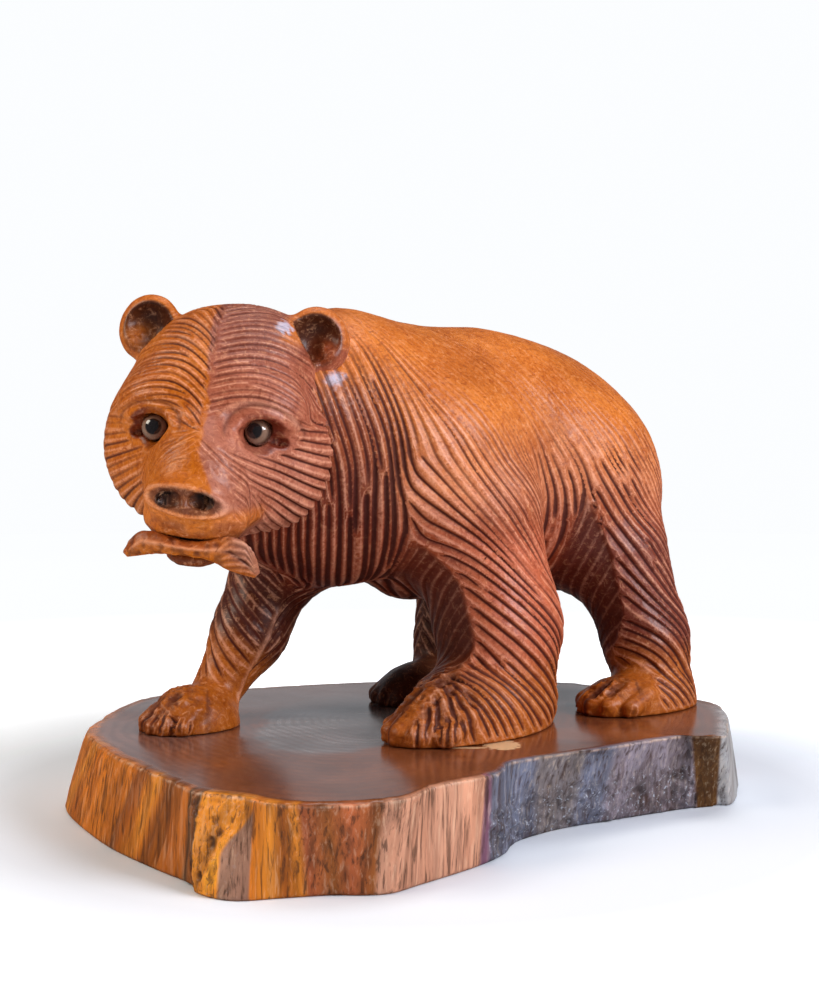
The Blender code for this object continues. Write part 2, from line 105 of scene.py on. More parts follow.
# ---- masses: the blocked-out form ---------------------------------------------------------
class Egg:
    """An ellipsoid: middle, half sizes, turn in degrees, and how softly it joins the rest."""

    def __init__(self, at, radii, turn=(0, 0, 0), blend=8.0, frame=None):
        local = Matrix.Translation(Vector(at)) @ Euler(
            [math.radians(a) for a in turn]).to_matrix().to_4x4()
        self.matrix = (frame @ local) if frame else local
        self.radii = np.array(radii, float)
        self.blend = blend
        self.middle = np.array(self.matrix.translation)
        self.reach = float(max(radii))
        self.rotation = np.array(self.matrix.to_3x3())

    def distance(self, points):
        local = (points - self.middle) @ self.rotation
        scaled = local / self.radii
        near = np.sqrt((scaled ** 2).sum(1)) + 1e-9
        slope = np.sqrt(((scaled / self.radii) ** 2).sum(1)) + 1e-9
        return near * (near - 1.0) / slope

    def skin(self, bm):
        size = Matrix.Diagonal((*self.radii, 1.0))
        bmesh.ops.create_icosphere(bm, subdivisions=4, radius=1.0, matrix=self.matrix @ size)


class Limb:
    """A tapered bar with round ends, from one point and radius to another."""

    def __init__(self, start, end, start_radius, end_radius, blend=8.0, frame=None):
        start, end = Vector(start), Vector(end)
        if frame:
            start, end = frame @ start, frame @ end
        self.start = np.array(start)
        self.end = np.array(end)
        self.radii = (start_radius, end_radius)
        self.blend = blend
        self.middle = (self.start + self.end) / 2
        self.reach = float((end - start).length / 2 + max(self.radii))

    def distance(self, points):
        axis = self.end - self.start
        along = np.clip((points - self.start) @ axis / (axis @ axis), 0.0, 1.0)
        nearest = self.start + along[:, None] * axis
        radius = self.radii[0] + (self.radii[1] - self.radii[0]) * along
        return np.sqrt(((points - nearest) ** 2).sum(1)) - radius

    def skin(self, bm):
        start, end = Vector(self.start), Vector(self.end)
        steps = max(2, int((end - start).length / 4))
        for step in range(steps + 1):
            share = step / steps
            radius = self.radii[0] + (self.radii[1] - self.radii[0]) * share
            bmesh.ops.create_icosphere(bm, subdivisions=3, radius=radius,
                                       matrix=Matrix.Translation(start.lerp(end, share)))


TOES = 5


def mirrored(make):
    """The same mass on the left (+1) and on the right (-1) of its frame."""
    return [make(1.0), make(-1.0)]


def paw(heel, toe, width, height):
    """A paw flat on the plinth: palm, a row of knuckled toes and their claws."""
    heel, toe = Vector((*heel, 0.0)), Vector((*toe, 0.0))
    forward = (toe - heel).normalized()
    side = Vector((-forward.y, forward.x, 0.0))
    length = (toe - heel).length
    turn = math.degrees(math.atan2(-forward.x, forward.y))
    parts = [Egg(heel.lerp(toe, 0.45) + Vector((0, 0, 1.0)),
                 (width * 0.48, length * 0.52, height), (0, 0, turn), blend=6.0)]
    radius = width / TOES * 0.56
    for index in range(TOES):
        across = (index - (TOES - 1) / 2) / (TOES - 1) * 2          # -1 .. 1
        reach = 1.0 - 0.15 * across ** 2
        out = side * across * width * 0.37
        knuckle = heel + forward * length * 0.70 * reach + out * 0.9
        tip = heel + forward * length * 0.93 * reach + out
        claw = heel + forward * length * 1.0 * reach + out * 1.05
        knuckle.z = height * (0.66 - 0.12 * across ** 2)
        tip.z = radius * 0.9
        claw.z = 0.8
        parts.append(Limb(knuckle, tip, radius, radius * 0.95, blend=1.5))
        parts.append(Limb(tip, claw, radius * 0.5, 0.8, blend=0.8))
    return parts


def body_masses():
    return [
        Egg((0, 17, 97), (41, 55, 47), blend=18),                    # barrel
        Egg((0, 55.5, 88.5), (37.5, 46, 46), blend=18),              # rump
        Egg((0, -26, 111), (30, 34, 32), blend=18),                  # withers
        Egg((2, -45, 115), (26, 20, 31), blend=12),                  # nape
        Egg((0, -40, 91), (35, 36, 42), blend=18),                   # chest
        Limb((0, -40, 102), (6, -80, 104), 36, 33, blend=18),        # neck
        Limb((-4, -52, 78), (9, -88, 84), 24, 19, blend=12),         # throat
        Egg((0, -9, 57), (18, 19, 15.5), blend=8),                   # between the front legs
    ]


def leg_masses():
    return [
        # front left, standing and broad
        Egg((27, -16, 86), (24, 29, 34), blend=18),
        Limb((31, -4, 72), (36, 3, 34), 24, 21, blend=10),
        Limb((36, 3, 34), (36.5, 5, 10), 21.5, 19, blend=10),
        Egg((40.5, -10, 6), (21.5, 35, 19), (0, 0, 20), blend=8),
        # front right, reaching forward
        Egg((-23, -42, 82), (19, 24, 32), blend=18),
        Limb((-26, -46, 66), (-26, -63, 31), 19, 12.4, blend=10),
        Limb((-26, -63, 31), (-27.5, -76, 11), 12.4, 9, blend=8),
        # rear left, pushing off
        Egg((23, 62.5, 79), (22, 30, 34), blend=18),
        Limb((32, 68, 56), (41, 74, 26), 20, 15.5, blend=10),
        Limb((41, 74, 26), (43.5, 76, 10), 15.5, 15, blend=8),
        # rear right, stepping forward
        Egg((-23, 50, 68), (20, 30, 32), blend=16),
        Limb((-24, 36, 52), (-25, 29.5, 24), 21, 11.5, blend=12),
        Limb((-25, 29.5, 24), (-25, 25, 10), 11.5, 10.5, blend=8),
        *paw((47, 7), (50.5, -57), 36, 17),
        *paw((-21.5, -75), (-17, -110), 28, 14),
        *paw((49, 86), (50.5, 33.5), 32, 13),
        *paw((-20, 29), (-12.5, -14), 28, 14),
    ]


def head_masses():
    head = HEAD_MATRIX
    masses = [
        Egg((0, 0, 1.5), (32.5, 33, 37.5), blend=10, frame=head),               # skull
        Egg((13, 3, 25.5), (15, 20, 11.5), blend=10, frame=head),               # left of the crown
        Egg((0, -32, -8), (12, 16, 13), (24, 0, 0), blend=10, frame=head),      # bridge
        Limb((0, -20, -16), (0, -38, -20.5), 22, 16.5, blend=8, frame=head),    # muzzle
        Egg((-1.2, -50.5, -20.3), (12.6, 6, 7.8), blend=2, frame=head),         # nose pad
        Egg((0, -42, -27.5), (14.5, 9.5, 6), blend=4, frame=head),              # upper lip
        Egg((0, -36, -37.9), (9.0, 12.5, 3.6), (4, 0, 0), blend=3, frame=head),  # lower jaw
    ]
    masses += mirrored(lambda s: Egg((s * 19.5, 0, -11), (18.5, 19, 23), (0, s * 14, 0),
                                     blend=10, frame=head))                     # cheek ruff
    masses += mirrored(lambda s: Egg((s * 17, -23, 9), (11, 7, 6), (0, s * 10, 0),
                                     blend=13, frame=head))                     # brow
    masses += mirrored(lambda s: Egg((s * 27.9 + CROWN_SHIFT, 4, 29.5), (11, 5, 11.3),
                                     (-8, 0, s * 16), blend=3, frame=head))     # ear
    return masses


def cuts():
    head = HEAD_MATRIX
    hollows = mirrored(lambda s: Egg((s * 28.2 + CROWN_SHIFT, -1.8, 30.2), (8.2, 6.6, 8.3),
                                     (-8, 0, s * 16), blend=1.2, frame=head))   # ear cup
    hollows += mirrored(lambda s: Egg((s * 18.0, -32, -0.8), (8.0, 5.5, 5.9), (0, s * 18, s * 22),
                                      blend=1.5, frame=head))                   # eye socket
    hollows += mirrored(lambda s: Egg((s * 5.2 - 1.2, -56.5, -19.6), (3.3, 4, 2.3),
                                      blend=0.8, frame=head))                   # nostril
    hollows.append(Egg((0, -50, -34), (16, 16, 1.6), blend=2, frame=head))      # mouth
    return hollows


# ---- the field: one smooth solid from all the masses ---------------------------------------
FAR = 60.0                      # the field's value away from every mass


def soft_union(near, other, blend):
    mix = np.maximum(blend - np.abs(near - other), 0.0) / blend
    return np.minimum(near, other) - mix * mix * blend * 0.25


def near_sphere(points, mass, margin):
    return ((points - mass.middle) ** 2).sum(1) < (mass.reach + mass.blend + margin) ** 2


def group_value(points, masses):
    value = np.full(len(points), FAR)
    for mass in masses:
        close = near_sphere(points, mass, 8.0)
        value[close] = soft_union(value[close], mass.distance(points[close]), mass.blend)
    return value


class Form:
    """Masses blended into one solid, less hollows."""

    def __init__(self, masses, hollows):
        self.masses = masses
        self.hollows = hollows


def field_value(points, form):
    """Signed distance, near enough, to the blended form; negative inside."""
    value = group_value(points, form.masses)
    for hollow in form.hollows:
        close = near_sphere(points, hollow, 6.0)
        value[close] = -soft_union(-value[close], hollow.distance(points[close]), hollow.blend)
    return value


TETRAHEDRON = np.array(((1, -1, -1), (-1, -1, 1), (-1, 1, -1), (1, 1, 1)), float)
SLOPE_STEP = 0.25


def field_slope(points, form):
    """Value and gradient from four samples around each point."""
    slope = np.zeros_like(points)
    total = np.zeros(len(points))
    for corner in TETRAHEDRON:
        sample = field_value(points + corner * SLOPE_STEP, form)
        slope += corner * sample[:, None]
        total += sample
    return total / 4, slope / (4 * SLOPE_STEP)


def form_normals(points, form):
    _, slope = field_slope(points, form)
    return slope / np.maximum(np.sqrt((slope ** 2).sum(1)), 1e-6)[:, None]


def settle(points, form, rounds):
    """Move points onto the zero level of the field."""
    for _ in range(rounds):
        value, slope = field_slope(points, form)
        steep = np.maximum((slope ** 2).sum(1), 0.3)
        move = slope * (value / steep)[:, None]
        length = np.sqrt((move ** 2).sum(1))
        limit = np.minimum(1.0, 3.0 / np.maximum(length, 1e-9))
        points = points - move * limit[:, None]
    return points


# ---- mesh helpers ---------------------------------------------------------------------------
def read_rows(layer, name):
    flat = np.empty(len(layer) * 3, np.float32)
    layer.foreach_get(name, flat)
    return flat.reshape(-1, 3).astype(float)


def get_points(mesh):
    return read_rows(mesh.vertices, "co")


def vertex_normals(mesh):
    return read_rows(mesh.vertex_normals, "vector")


def set_points(mesh, points):
    mesh.vertices.foreach_set("co", np.asarray(points, np.float32).ravel())
    mesh.update()


def new_object(name, data):
    obj = bpy.data.objects.new(name, data)
    bpy.context.scene.collection.objects.link(obj)
    return obj


def object_from(bm, name):
    mesh = bpy.data.meshes.new(name)
    bm.to_mesh(mesh)
    bm.free()
    return new_object(name, mesh)


@contextlib.contextmanager
def editing(mesh):
    """A mesh opened for editing, and written back at the end."""
    bm = bmesh.new()
    bm.from_mesh(mesh)
    yield bm
    bm.to_mesh(mesh)
    bm.free()


def cut_plane(mesh, at, keep):
    """Cut away what lies behind a plane, seen from the side to keep, and close the cut."""
    with editing(mesh) as bm:
        bmesh.ops.bisect_plane(bm, geom=bm.verts[:] + bm.edges[:] + bm.faces[:],
                               plane_co=at, plane_no=keep, clear_inner=True)
        bmesh.ops.holes_fill(bm, edges=[e for e in bm.edges if e.is_boundary])
        bmesh.ops.triangulate(bm, faces=[f for f in bm.faces if len(f.verts) > 4])


def bake(obj):
    """Apply the object's modifiers to its mesh."""
    bpy.context.view_layer.update()
    graph = bpy.context.evaluated_depsgraph_get()
    mesh = bpy.data.meshes.new_from_object(obj.evaluated_get(graph), depsgraph=graph)
    obj.modifiers.clear()
    old = obj.data
    obj.data = mesh
    bpy.data.meshes.remove(old)
    return obj


def remesh(obj, voxel):
    modifier = obj.modifiers.new("skin", "REMESH")
    modifier.mode = "VOXEL"
    modifier.voxel_size = voxel
    modifier.adaptivity = 0.0
    return bake(obj)


def thin(obj, faces):
    count = sum(len(p.vertices) - 2 for p in obj.data.polygons)
    modifier = obj.modifiers.new("thin", "DECIMATE")
    modifier.ratio = min(1.0, faces / count)
    return bake(obj)


def carve_form(name, form, voxel):
    """Skin the masses, settle the skin on the blended form, and even its mesh out."""
    bm = bmesh.new()
    for mass in form.masses:
        mass.skin(bm)
    obj = object_from(bm, name)
    for size, rounds in ((BASE_VOXEL, 4), (voxel, 3), (voxel, 2)):
        remesh(obj, size)
        set_points(obj.data, settle(get_points(obj.data), form, rounds))
    return obj


def eye_place(side):
    return Vector((side * EYE_AT.x, EYE_AT.y, EYE_AT.z)) + EYE_OFF[side]


# along the fish from its head to the tip of its broad tail, in the head's own frame:
# left, up, forward, half height, half thickness
FISH_LINE = [
    (-19.8, -38.9, 46.5, 0.9, 0.8),
    (-17.4, -36.4, 47.5, 3.0, 1.8),
    (-14.0, -34.0, 48.3, 4.3, 2.3),
    (-8.8, -34.1, 49.0, 3.2, 2.6),
    (-4.0, -34.6, 49.5, 2.6, 2.6),
    (0.5, -34.9, 49.8, 2.4, 2.5),
    (5.0, -35.0, 49.8, 2.8, 2.3),
    (8.8, -34.8, 49.4, 4.1, 2.0),
    (12.6, -34.9, 48.8, 5.9, 1.5),
    (17.2, -37.9, 48.0, 4.8, 1.1),
    (21.0, -42.0, 47.0, 1.1, 0.7),
]
FISH_SIDES = 12


def fish_spine():
    return [Vector((left, -forward, up)) for left, up, forward, _, _ in FISH_LINE]


def fish(name):
    """A small salmon lofted along a bent line, from its head to its broad tail."""
    bm = bmesh.new()
    line = fish_spine()
    out = Vector((0, -1, 0))
    rings = []
    for index, (_, _, _, tall, thick) in enumerate(FISH_LINE):
        ahead = line[min(index + 1, len(line) - 1)]
        behind = line[max(index - 1, 0)]
        high = (ahead - behind).normalized().cross(out).normalized() * -1.0
        ring = []
        for side in range(FISH_SIDES):
            angle = 2 * math.pi * side / FISH_SIDES
            point = line[index] + high * math.sin(angle) * tall + out * math.cos(angle) * thick
            ring.append(bm.verts.new(HEAD_MATRIX @ point))
        rings.append(ring)
    for one, other in zip(rings, rings[1:]):
        for side in range(FISH_SIDES):
            after = (side + 1) % FISH_SIDES
            bm.faces.new((one[side], one[after], other[after], other[side]))
    low = 3 * FISH_SIDES // 4
    for ring in (rings[0], rings[-1]):
        turned = ring[low:] + ring[:low]
        for step in range(FISH_SIDES // 2):
            corners = (turned[step], turned[step + 1], turned[-1 - step], turned[-step])
            bm.faces.new(list(dict.fromkeys(corners)))
    bmesh.ops.recalc_face_normals(bm, faces=bm.faces[:])
    return object_from(bm, name)


# the slab's outline from above, with where its underside comes out below each point
PLINTH_EDGE = [
    ((-53, -110), (-62, -114)),
    ((-33, -124), (-41, -129)),
    ((2, -133), (4, -138)),
    ((35, -136), (35, -139)),
    ((57, -138), (60, -138)),
    ((67, -137), (70, -141)),
    ((78, -131), (82, -137)),
    ((91, -128), (88, -126)),
    ((101, -120), (95, -112)),
    ((110, -99), (104, -99)),
    ((103, -80), (103, -85)),
    ((102, -60), (99, -60)),
    ((99, -50), (94, -45)),
    ((92, -41), (86, -33)),
    ((92, -24), (83, -18)),
    ((94, -6), (83, -3)),
    ((95, 24), (87, 26)),
    ((97, 35), (90, 46)),
    ((105, 44), (93, 56)),
    ((100, 53), (94, 64)),
    ((73, 83), (72, 92)),
    ((52, 93), (52, 104)),
    ((2, 85), (-1, 92)),
    ((-12, 79), (-17, 86)),
    ((-40, 50), (-45, 54)),
    ((-61, 18), (-67, 19)),
    ((-78, -28), (-85, -29)),
    ((-86, -66), (-93, -68)),
    ((-75, -88), (-83, -93)),
]


def catmull(points, steps):
    """A smooth closed line through the points."""
    smooth_line = []
    count = len(points)
    for index in range(count):
        before, start, end, after = (points[(index + k) % count] for k in (-1, 0, 1, 2))
        for step in range(steps):
            t = step / steps
            smooth_line.append(0.5 * ((2 * start) + (end - before) * t
                                      + (2 * before - 5 * start + 4 * end - after) * t ** 2
                                      + (3 * start - before - 3 * end + after) * t ** 3))
    return smooth_line


# ---- noise ----------------------------------------------------------------------------------
def smooth(low, high, value):
    share = np.clip((value - low) / (high - low), 0.0, 1.0)
    return share * share * (3.0 - 2.0 * share)


def scatter(number, seed):
    """A repeatable random share, 0 to 1, for each whole number."""
    wave = np.sin(number * 12.9898 + seed * 78.233) * 43758.5453
    return wave - np.floor(wave)


def noise(points, size, seed):
    """Smooth repeatable noise, -1 to 1, with bumps of about the given size."""
    scaled = points / size
    cell = np.floor(scaled)
    part = scaled - cell
    part = part * part * (3.0 - 2.0 * part)
    total = np.zeros(len(points))
    for corner in itertools.product((0.0, 1.0), repeat=3):
        weight = np.ones(len(points))
        for axis, bit in enumerate(corner):
            weight *= part[:, axis] if bit else 1.0 - part[:, axis]
        key = (cell + np.array(corner)) @ np.array((1.0, 57.0, 113.0))
        total += weight * scatter(key, seed)
    return total * 2.0 - 1.0


def between(one, other, share):
    return one * (1 - share) + other * share


def mix(one, other, share):
    """The same for rows of directions or colours."""
    return between(one, other, share[:, None])


# ---- the lie of the fur ---------------------------------------------------------------------
class Leg:
    """A leg's axis, and how the strokes run round it from the parting on its front."""

    def __init__(self, masses, axis, parting, steep, meet, depth, sole, fan):
        self.masses = masses
        self.axis = np.array(axis, float)       # (x, y, z), from the top down
        self.parting = np.array(parting, float)     # height, heading from ahead towards the left
        self.steep = np.array(steep, float)     # height, fall at the parting, fall further round
        self.meet = math.radians(meet)          # where the strokes from both sides meet
        self.depth = depth                      # outside, inside
        self.sole = sole                        # heights between which the strokes fade out
        self.fan = math.radians(fan)            # beyond this the strokes run down over the paw

    def lie(self, points):
        level = points[:, 2]
        heights = self.axis[::-1, 2]
        along_x = np.interp(level, heights, self.axis[::-1, 0])
        along_y = np.interp(level, heights, self.axis[::-1, 1])
        parting = np.radians(np.interp(level, self.parting[:, 0], self.parting[:, 1]))
        heading = np.arctan2(points[:, 0] - along_x, along_y - points[:, 1])
        turn = (heading - parting + math.pi) % (2 * math.pi) - math.pi
        way = np.where(turn > 0, 1.0, -1.0) * np.where(np.abs(turn) > self.meet, -1.0, 1.0)
        near, far = (np.interp(level, self.steep[:, 0], self.steep[:, side]) for side in (1, 2))
        fall = near + (far - near) * smooth(0.0, 1.7, np.abs(turn))
        fall = np.where(turn < 0, fall + 0.45, fall)
        return np.stack((way * np.cos(heading), way * np.sin(heading), -fall), 1), turn


FORE_LEFT = Leg(slice(0, 4), [(27, -14, 92), (31, -4, 72), (36, 3, 34), (38, -2, 0)],
                [(8, 16), (22, 20), (30, 29), (50, 26), (64, 15), (84, 0)],
                [(4, 2.2, 1.0), (20, 1.1, 0.75), (34, 0.8, 0.9), (50, 0.65, 1.1), (90, 0.6, 1.4)],
                150, (1.25, 0.5), (0.0, 2.0), 4)
FORE_RIGHT = Leg(slice(4, 7), [(-23, -42, 84), (-26, -46, 66), (-26, -63, 31), (-27.5, -76, 0)],
                 [(0, -20), (90, -20)], [(0, 2.0, 2.0), (20, 1.2, 1.2), (50, 0.95, 1.1)],
                 104, (0.85, 0.7), (12.0, 20.0), 400)
HIND_LEFT = Leg(slice(7, 10), [(23, 62.5, 84), (32, 68, 56), (41, 74, 26), (43.5, 76, 0)],
                [(20, -5), (28, 12), (35, 28), (58, 42)],
                [(8, 0.8, 1.3), (20, 0.2, 1.1), (30, 0.3, 1.1), (38, 0.7, 1.2), (57, 1.25, 1.3)],
                150, (1.2, 0.4), (0.0, 2.0), 55)
HIND_RIGHT = Leg(slice(10, 13), [(-23, 50, 70), (-24, 36, 52), (-25, 29.5, 24), (-25, 25, 0)],
                 [(0, 0), (90, 0)], [(0, 2.0, 2.5), (30, 0.9, 1.5), (90, 0.9, 1.5)],
                 150, (0.8, 0.7), (13.0, 20.0), 400)
LEGS = (FORE_LEFT, FORE_RIGHT, HIND_LEFT, HIND_RIGHT)
LIMB_COUNT = 13                 # masses of the legs proper; the rest are paws
EARS = slice(-2, None)          # the head masses that are ears


def head_coordinates(points):
    """Left, up and forward in the head's own frame."""
    local = (points - np.array(HEAD_AT)) @ np.array(HEAD_MATRIX.to_3x3())
    return local[:, 0], local[:, 2], -local[:, 1]


def from_head(left, up, forward):
    """Directions in the head's frame, turned into the carver's frame."""
    return np.stack((left, -forward, up), 1) @ np.array(HEAD_MATRIX.to_3x3()).T


def inside_other(points, masses):
    """True where points lie well inside another mass, out of sight."""
    return group_value(points, masses) < -2.5


def hand_of(left):
    """+1 on the left, -1 on the right."""
    return np.where(left > 0, 1.0, -1.0)


def laid_on(lie, normals, facing):
    """A lie kept as it looks from the facing side, laid on the slope that it crosses."""
    ahead = (normals * facing).sum(1)
    share = smooth(0.15, 0.40, np.abs(ahead))
    safe = np.where(np.abs(ahead) < 0.15, 1.0, ahead)
    reach = np.clip(-(lie * normals).sum(1) / safe, -2.5, 2.5)
    return lie + facing * (reach * share)[:, None]


def flat_lie(lie, normals):
    lie = lie - normals * (lie * normals).sum(1)[:, None]
    return lie / (np.sqrt((lie ** 2).sum(1)) + 1e-6)[:, None]


BROW_SPACING = 2.1
CHEEK_SPACING = 2.0             # by the muzzle
RUFF_SPREAD = 0.9               # added to it at the ruff
MUZZLE_SPACING = 1.5
BROW_DEPTH = (0.5, 0.66)        # left, right
CHEEK_DEPTH = 0.45              # by the muzzle
MUZZLE_DEPTH = 0.32


def head_plan(points, normals):
    """Arcs draped over the brows, rays across the cheeks, fine lines over the muzzle."""
    left, up, forward = head_coordinates(points)
    hand = hand_of(left)
    side = np.abs(left)
    rise = np.where(left > 0, 0.032, 0.086)
    bend = np.where(side < 13.0, rise, 0.05) * (side - 13.0)
    arcs = from_head(hand, -bend, np.zeros(len(left)))
    droop = 0.35 * smooth(-20.0, -31.0, up) * smooth(32.0, 22.0, side)
    far = np.sqrt((side + 7.0) ** 2 + (up - 4.0) ** 2) + 1e-6
    rays = from_head(hand * (side + 7.0) / far, (up - 4.0) / far - droop, np.zeros(len(left)))
    over = from_head(hand, -0.012 * side ** 2, np.zeros(len(left)))
    nape = from_head(0.3 * hand, -0.8 * np.ones(len(left)), -0.8 * np.ones(len(left)))
    on_cheek = smooth(4.0, -2.0, up - 0.18 * np.maximum(side - 20.0, 0.0))
    on_muzzle = smooth(28.0, 33.0, forward) * smooth(-3.0, -9.0, up) * smooth(6.0, 1.0, left)
    behind = smooth(2.0, -8.0, forward) * smooth(0.0, 12.0, up)
    lie = mix(mix(arcs, rays, on_cheek), over, on_muzzle)
    face = from_head(*(np.full(len(left), part) for part in (0.0, 0.0, 1.0)))
    lie = mix(laid_on(lie, normals, face), nape, behind)
    spread = smooth(12.0, 30.0, side)
    low = smooth(2.0, -16.0, up)
    spacing = between(BROW_SPACING, CHEEK_SPACING + RUFF_SPREAD * spread, on_cheek)
    spacing = between(spacing, MUZZLE_SPACING, on_muzzle)
    cheek_depth = CHEEK_DEPTH + (0.5 + 0.35 * low) * spread
    depth = between(np.where(left > 0, *BROW_DEPTH), cheek_depth, on_cheek)
    depth *= 1.0 - 0.45 * smooth(-12.0, -22.0, left)
    depth = between(depth, MUZZLE_DEPTH, on_muzzle)
    bare = (socket_rim(left, up) < np.where(left > 0, 1.10, 0.98)) & (forward > 10.0)
    planed = ((side - 11.0) / 10.0) ** 2 + ((up - 1.0) / 6.5) ** 2
    bare |= (planed < 1.0) & (left > 1.0) & (forward > 10.0)
    bare |= (forward > 48.5) & (up > -33.0) & (up < -12.5)
    bare |= (forward > 22.0) & (up < -27.5)
    bare |= group_value(points, head_masses()[EARS]) < 0.8
    bare |= inside_other(points, body_masses())
    return flat_lie(lie, normals), spacing, np.where(bare, 0.0, depth)


# by height in mm: slant of the strokes in degrees, their depth and their spacing in mm
FLANK_SLANT = ((60, 76, 85, 100, 115, 131, 141, 150), (89, 80, 70, 59, 52, 45, 26, 15))
CHEST_SLANT = ((60, 85, 105, 131, 141, 150), (92, 88, 74, 56, 46, 34))
FLANK_DEPTH = ((50, 75, 92, 108, 145), (1.2, 1.15, 0.65, 0.30, 0.17))
CHEST_DEPTH = ((96, 118, 140), (1.3, 0.75, 0.25))
FLANK_SPACING = ((50, 76, 100, 120, 145), (4.3, 4.2, 3.2, 2.4, 2.1))
CHEST_SPACING = ((100, 140), (3.3, 2.3))


def body_plan(points, normals):
    """Back along the spine, slanting down the flanks, wrapped round the legs."""
    level = points[:, 2]
    chest = smooth(-24.0, -50.0, points[:, 1])
    slant, depth, spacing = (
        between(np.interp(level, *flank), np.interp(level, *front), chest)
        for flank, front in ((FLANK_SLANT, CHEST_SLANT), (FLANK_DEPTH, CHEST_DEPTH),
                             (FLANK_SPACING, CHEST_SPACING)))
    angle = np.radians(slant + 7.0 * noise(points, 14.0, 71.0))
    hand = hand_of(points[:, 0])
    turn = np.radians(52.0 + 38.0 * (1.0 - chest))
    facing = np.stack((hand * np.sin(turn), -np.cos(turn), np.zeros(len(points))), 1)
    lie = np.stack((hand * np.cos(turn) * np.cos(angle), np.sin(turn) * np.cos(angle),
                    -np.sin(angle)), 1)
    lie = laid_on(lie, normals, facing)
    body = group_value(points, body_masses())
    limbs = leg_masses()
    nearest_limb = np.full(len(points), FAR)
    on_toes = np.zeros(len(points), bool)
    for leg in LEGS:
        mine = group_value(points, limbs[leg.masses])
        turning, turn = leg.lie(points)
        on_toes = np.where(mine < nearest_limb, (turn < leg.fan) | (turn > 2.3), on_toes)
        nearest_limb = np.minimum(nearest_limb, mine)
        weight = leg_weight(points, leg, body, mine)
        lie = mix(lie, turning, weight)
        round_back = smooth(0.3, 1.4, turn) * smooth(38.0, 52.0, level)
        near_sole = smooth(leg.sole[0], leg.sole[1], level)
        outer = leg.depth[0] * (1.0 - 0.55 * round_back)
        cutting = np.where(turn < 0, leg.depth[1], outer)
        spacing = between(spacing, 3.7 - 1.2 * round_back, weight)
        depth = between(depth, cutting * near_sole, weight)
    paws = group_value(points, limbs[LIMB_COUNT:])
    bare = (paws < nearest_limb + 0.5) & (level < 26.0) & on_toes
    bare |= (level < 0.6) | inside_other(points, head_masses())
    return flat_lie(lie, normals), spacing, np.where(bare, 0.0, depth)


def leg_weight(points, leg, body, mine):
    """How far a point belongs to a leg rather than to the body."""
    level = points[:, 2]
    along_y = np.interp(level, leg.axis[::-1, 2], leg.axis[::-1, 1])
    weight = smooth(-3.0, 2.0, body - mine) * smooth(100.0, 90.0, level)
    return weight * smooth(40.0, 30.0, np.abs(points[:, 1] - along_y)) * smooth(20.0, 12.0, mine)


def ankle_ridge(points):
    """The sharp ridge down the inside of the front right leg, where the strokes meet."""
    _, turn = FORE_RIGHT.lie(points)
    level = points[:, 2]
    near = smooth(14.0, 11.0, np.abs(points[:, 1] - np.interp(level, (0, 60), (-76.0, -48.0))))
    wander = 0.07 * noise(points, 5.0, 87.0)
    ridge = np.exp(-((turn - FORE_RIGHT.meet - wander) / 0.075) ** 2)
    return ridge * near * smooth(4.0, 8.0, level) * smooth(44.0, 36.0, level) * (points[:, 0] < 0)


# middle and reach of the wrinkled knuckles; middle of each fan of toes
KNUCKLES = (((49.0, -38.0, 11.0), 15.0), ((50.0, 42.0, 9.0), 9.0), ((-18.0, -98.0, 9.0), 10.0))
TOE_FANS = ((50.0, 42.0), (-18.0, -100.0), (49.0, -50.0))
TOE_SPLITS = 5.4                # turns of the dark gaps for each turn round a fan


def body_relief(points):
    """Each left leg's parting, the knuckles behind the toes and the ankle's ridge.

    Gives the lift in mm, how far a painted highlight lies on it, and how far painted shade darkens
    it.
    """
    body = group_value(points, body_masses())
    limbs = leg_masses()
    lift = np.zeros(len(points))
    shade = np.zeros(len(points))
    for leg in (FORE_LEFT, HIND_LEFT):
        mine = group_value(points, limbs[leg.masses])
        _, turn = leg.lie(points)
        inside = smooth(0.02, -0.08, turn) * smooth(-1.5, -0.6, turn)
        fade = smooth(18.0, 30.0, points[:, 2]) * leg_weight(points, leg, body, mine)
        lift -= inside * fade
        # painted shade on the inner side of each parting
        shade = np.maximum(shade, 0.4 * inside * fade)
    for middle, size in KNUCKLES:
        away = ((points - np.array(middle)) ** 2).sum(1)
        near = np.exp(-away / size ** 2) * smooth(2.0, 5.0, points[:, 2])
        knobs = 0.42 - np.abs(noise(points, 5.0, 81.0)) - 0.5 * np.abs(noise(points, 2.4, 82.0))
        lift += 3.2 * near * knobs
        # painted shade in the crevices between the knuckles
        shade = np.maximum(shade, near * smooth(0.12, -0.22, knobs))
    for toes in TOE_FANS:
        east = points[:, 0] - toes[0]
        north = points[:, 1] - toes[1]
        heading = np.arctan2(east, 14.0 - north)
        near = smooth(17.0, 12.0, np.hypot(east, north)) * smooth(16.0, 11.0, points[:, 2])
        split = np.cos((heading + 0.05) * TOE_SPLITS)
        # painted shade in the gaps between the toes
        shade = np.maximum(shade, 0.75 * smooth(0.86, 0.97, split) * near)
    # the ankle's ridge also carries a painted highlight
    ridge = ankle_ridge(points)
    return lift + 0.8 * ridge, ridge, shade


def socket_rim(left, up):
    """How far out from the middle of the nearer eye socket, 1 at its rim: an almond."""
    lift = np.where(left > 0, EYE_OFF[1.0].z, EYE_OFF[-1.0].z)
    out = hand_of(left) * left - 18.3
    high = up - EYE_AT.z - lift + 0.12 * out
    return np.sqrt((out / 8.9) ** 2 + (high / 6.6) ** 2)


def on_nose(left, up):
    """Across and up on the nose pad, each 1 at its rim."""
    across = (left - NOSE_AT[0]) / NOSE_SIZE[0]
    return across, (up - NOSE_AT[1] + NOSE_LEAN * across) / NOSE_SIZE[1]


def ear_lobe(left, up, out, level, size):
    """1 in the middle of each ear's lobe, fading over the square root of a size."""
    away = (hand_of(left) * (left - CROWN_SHIFT) - out) ** 2 + (up - level) ** 2
    return np.exp(-away / size)


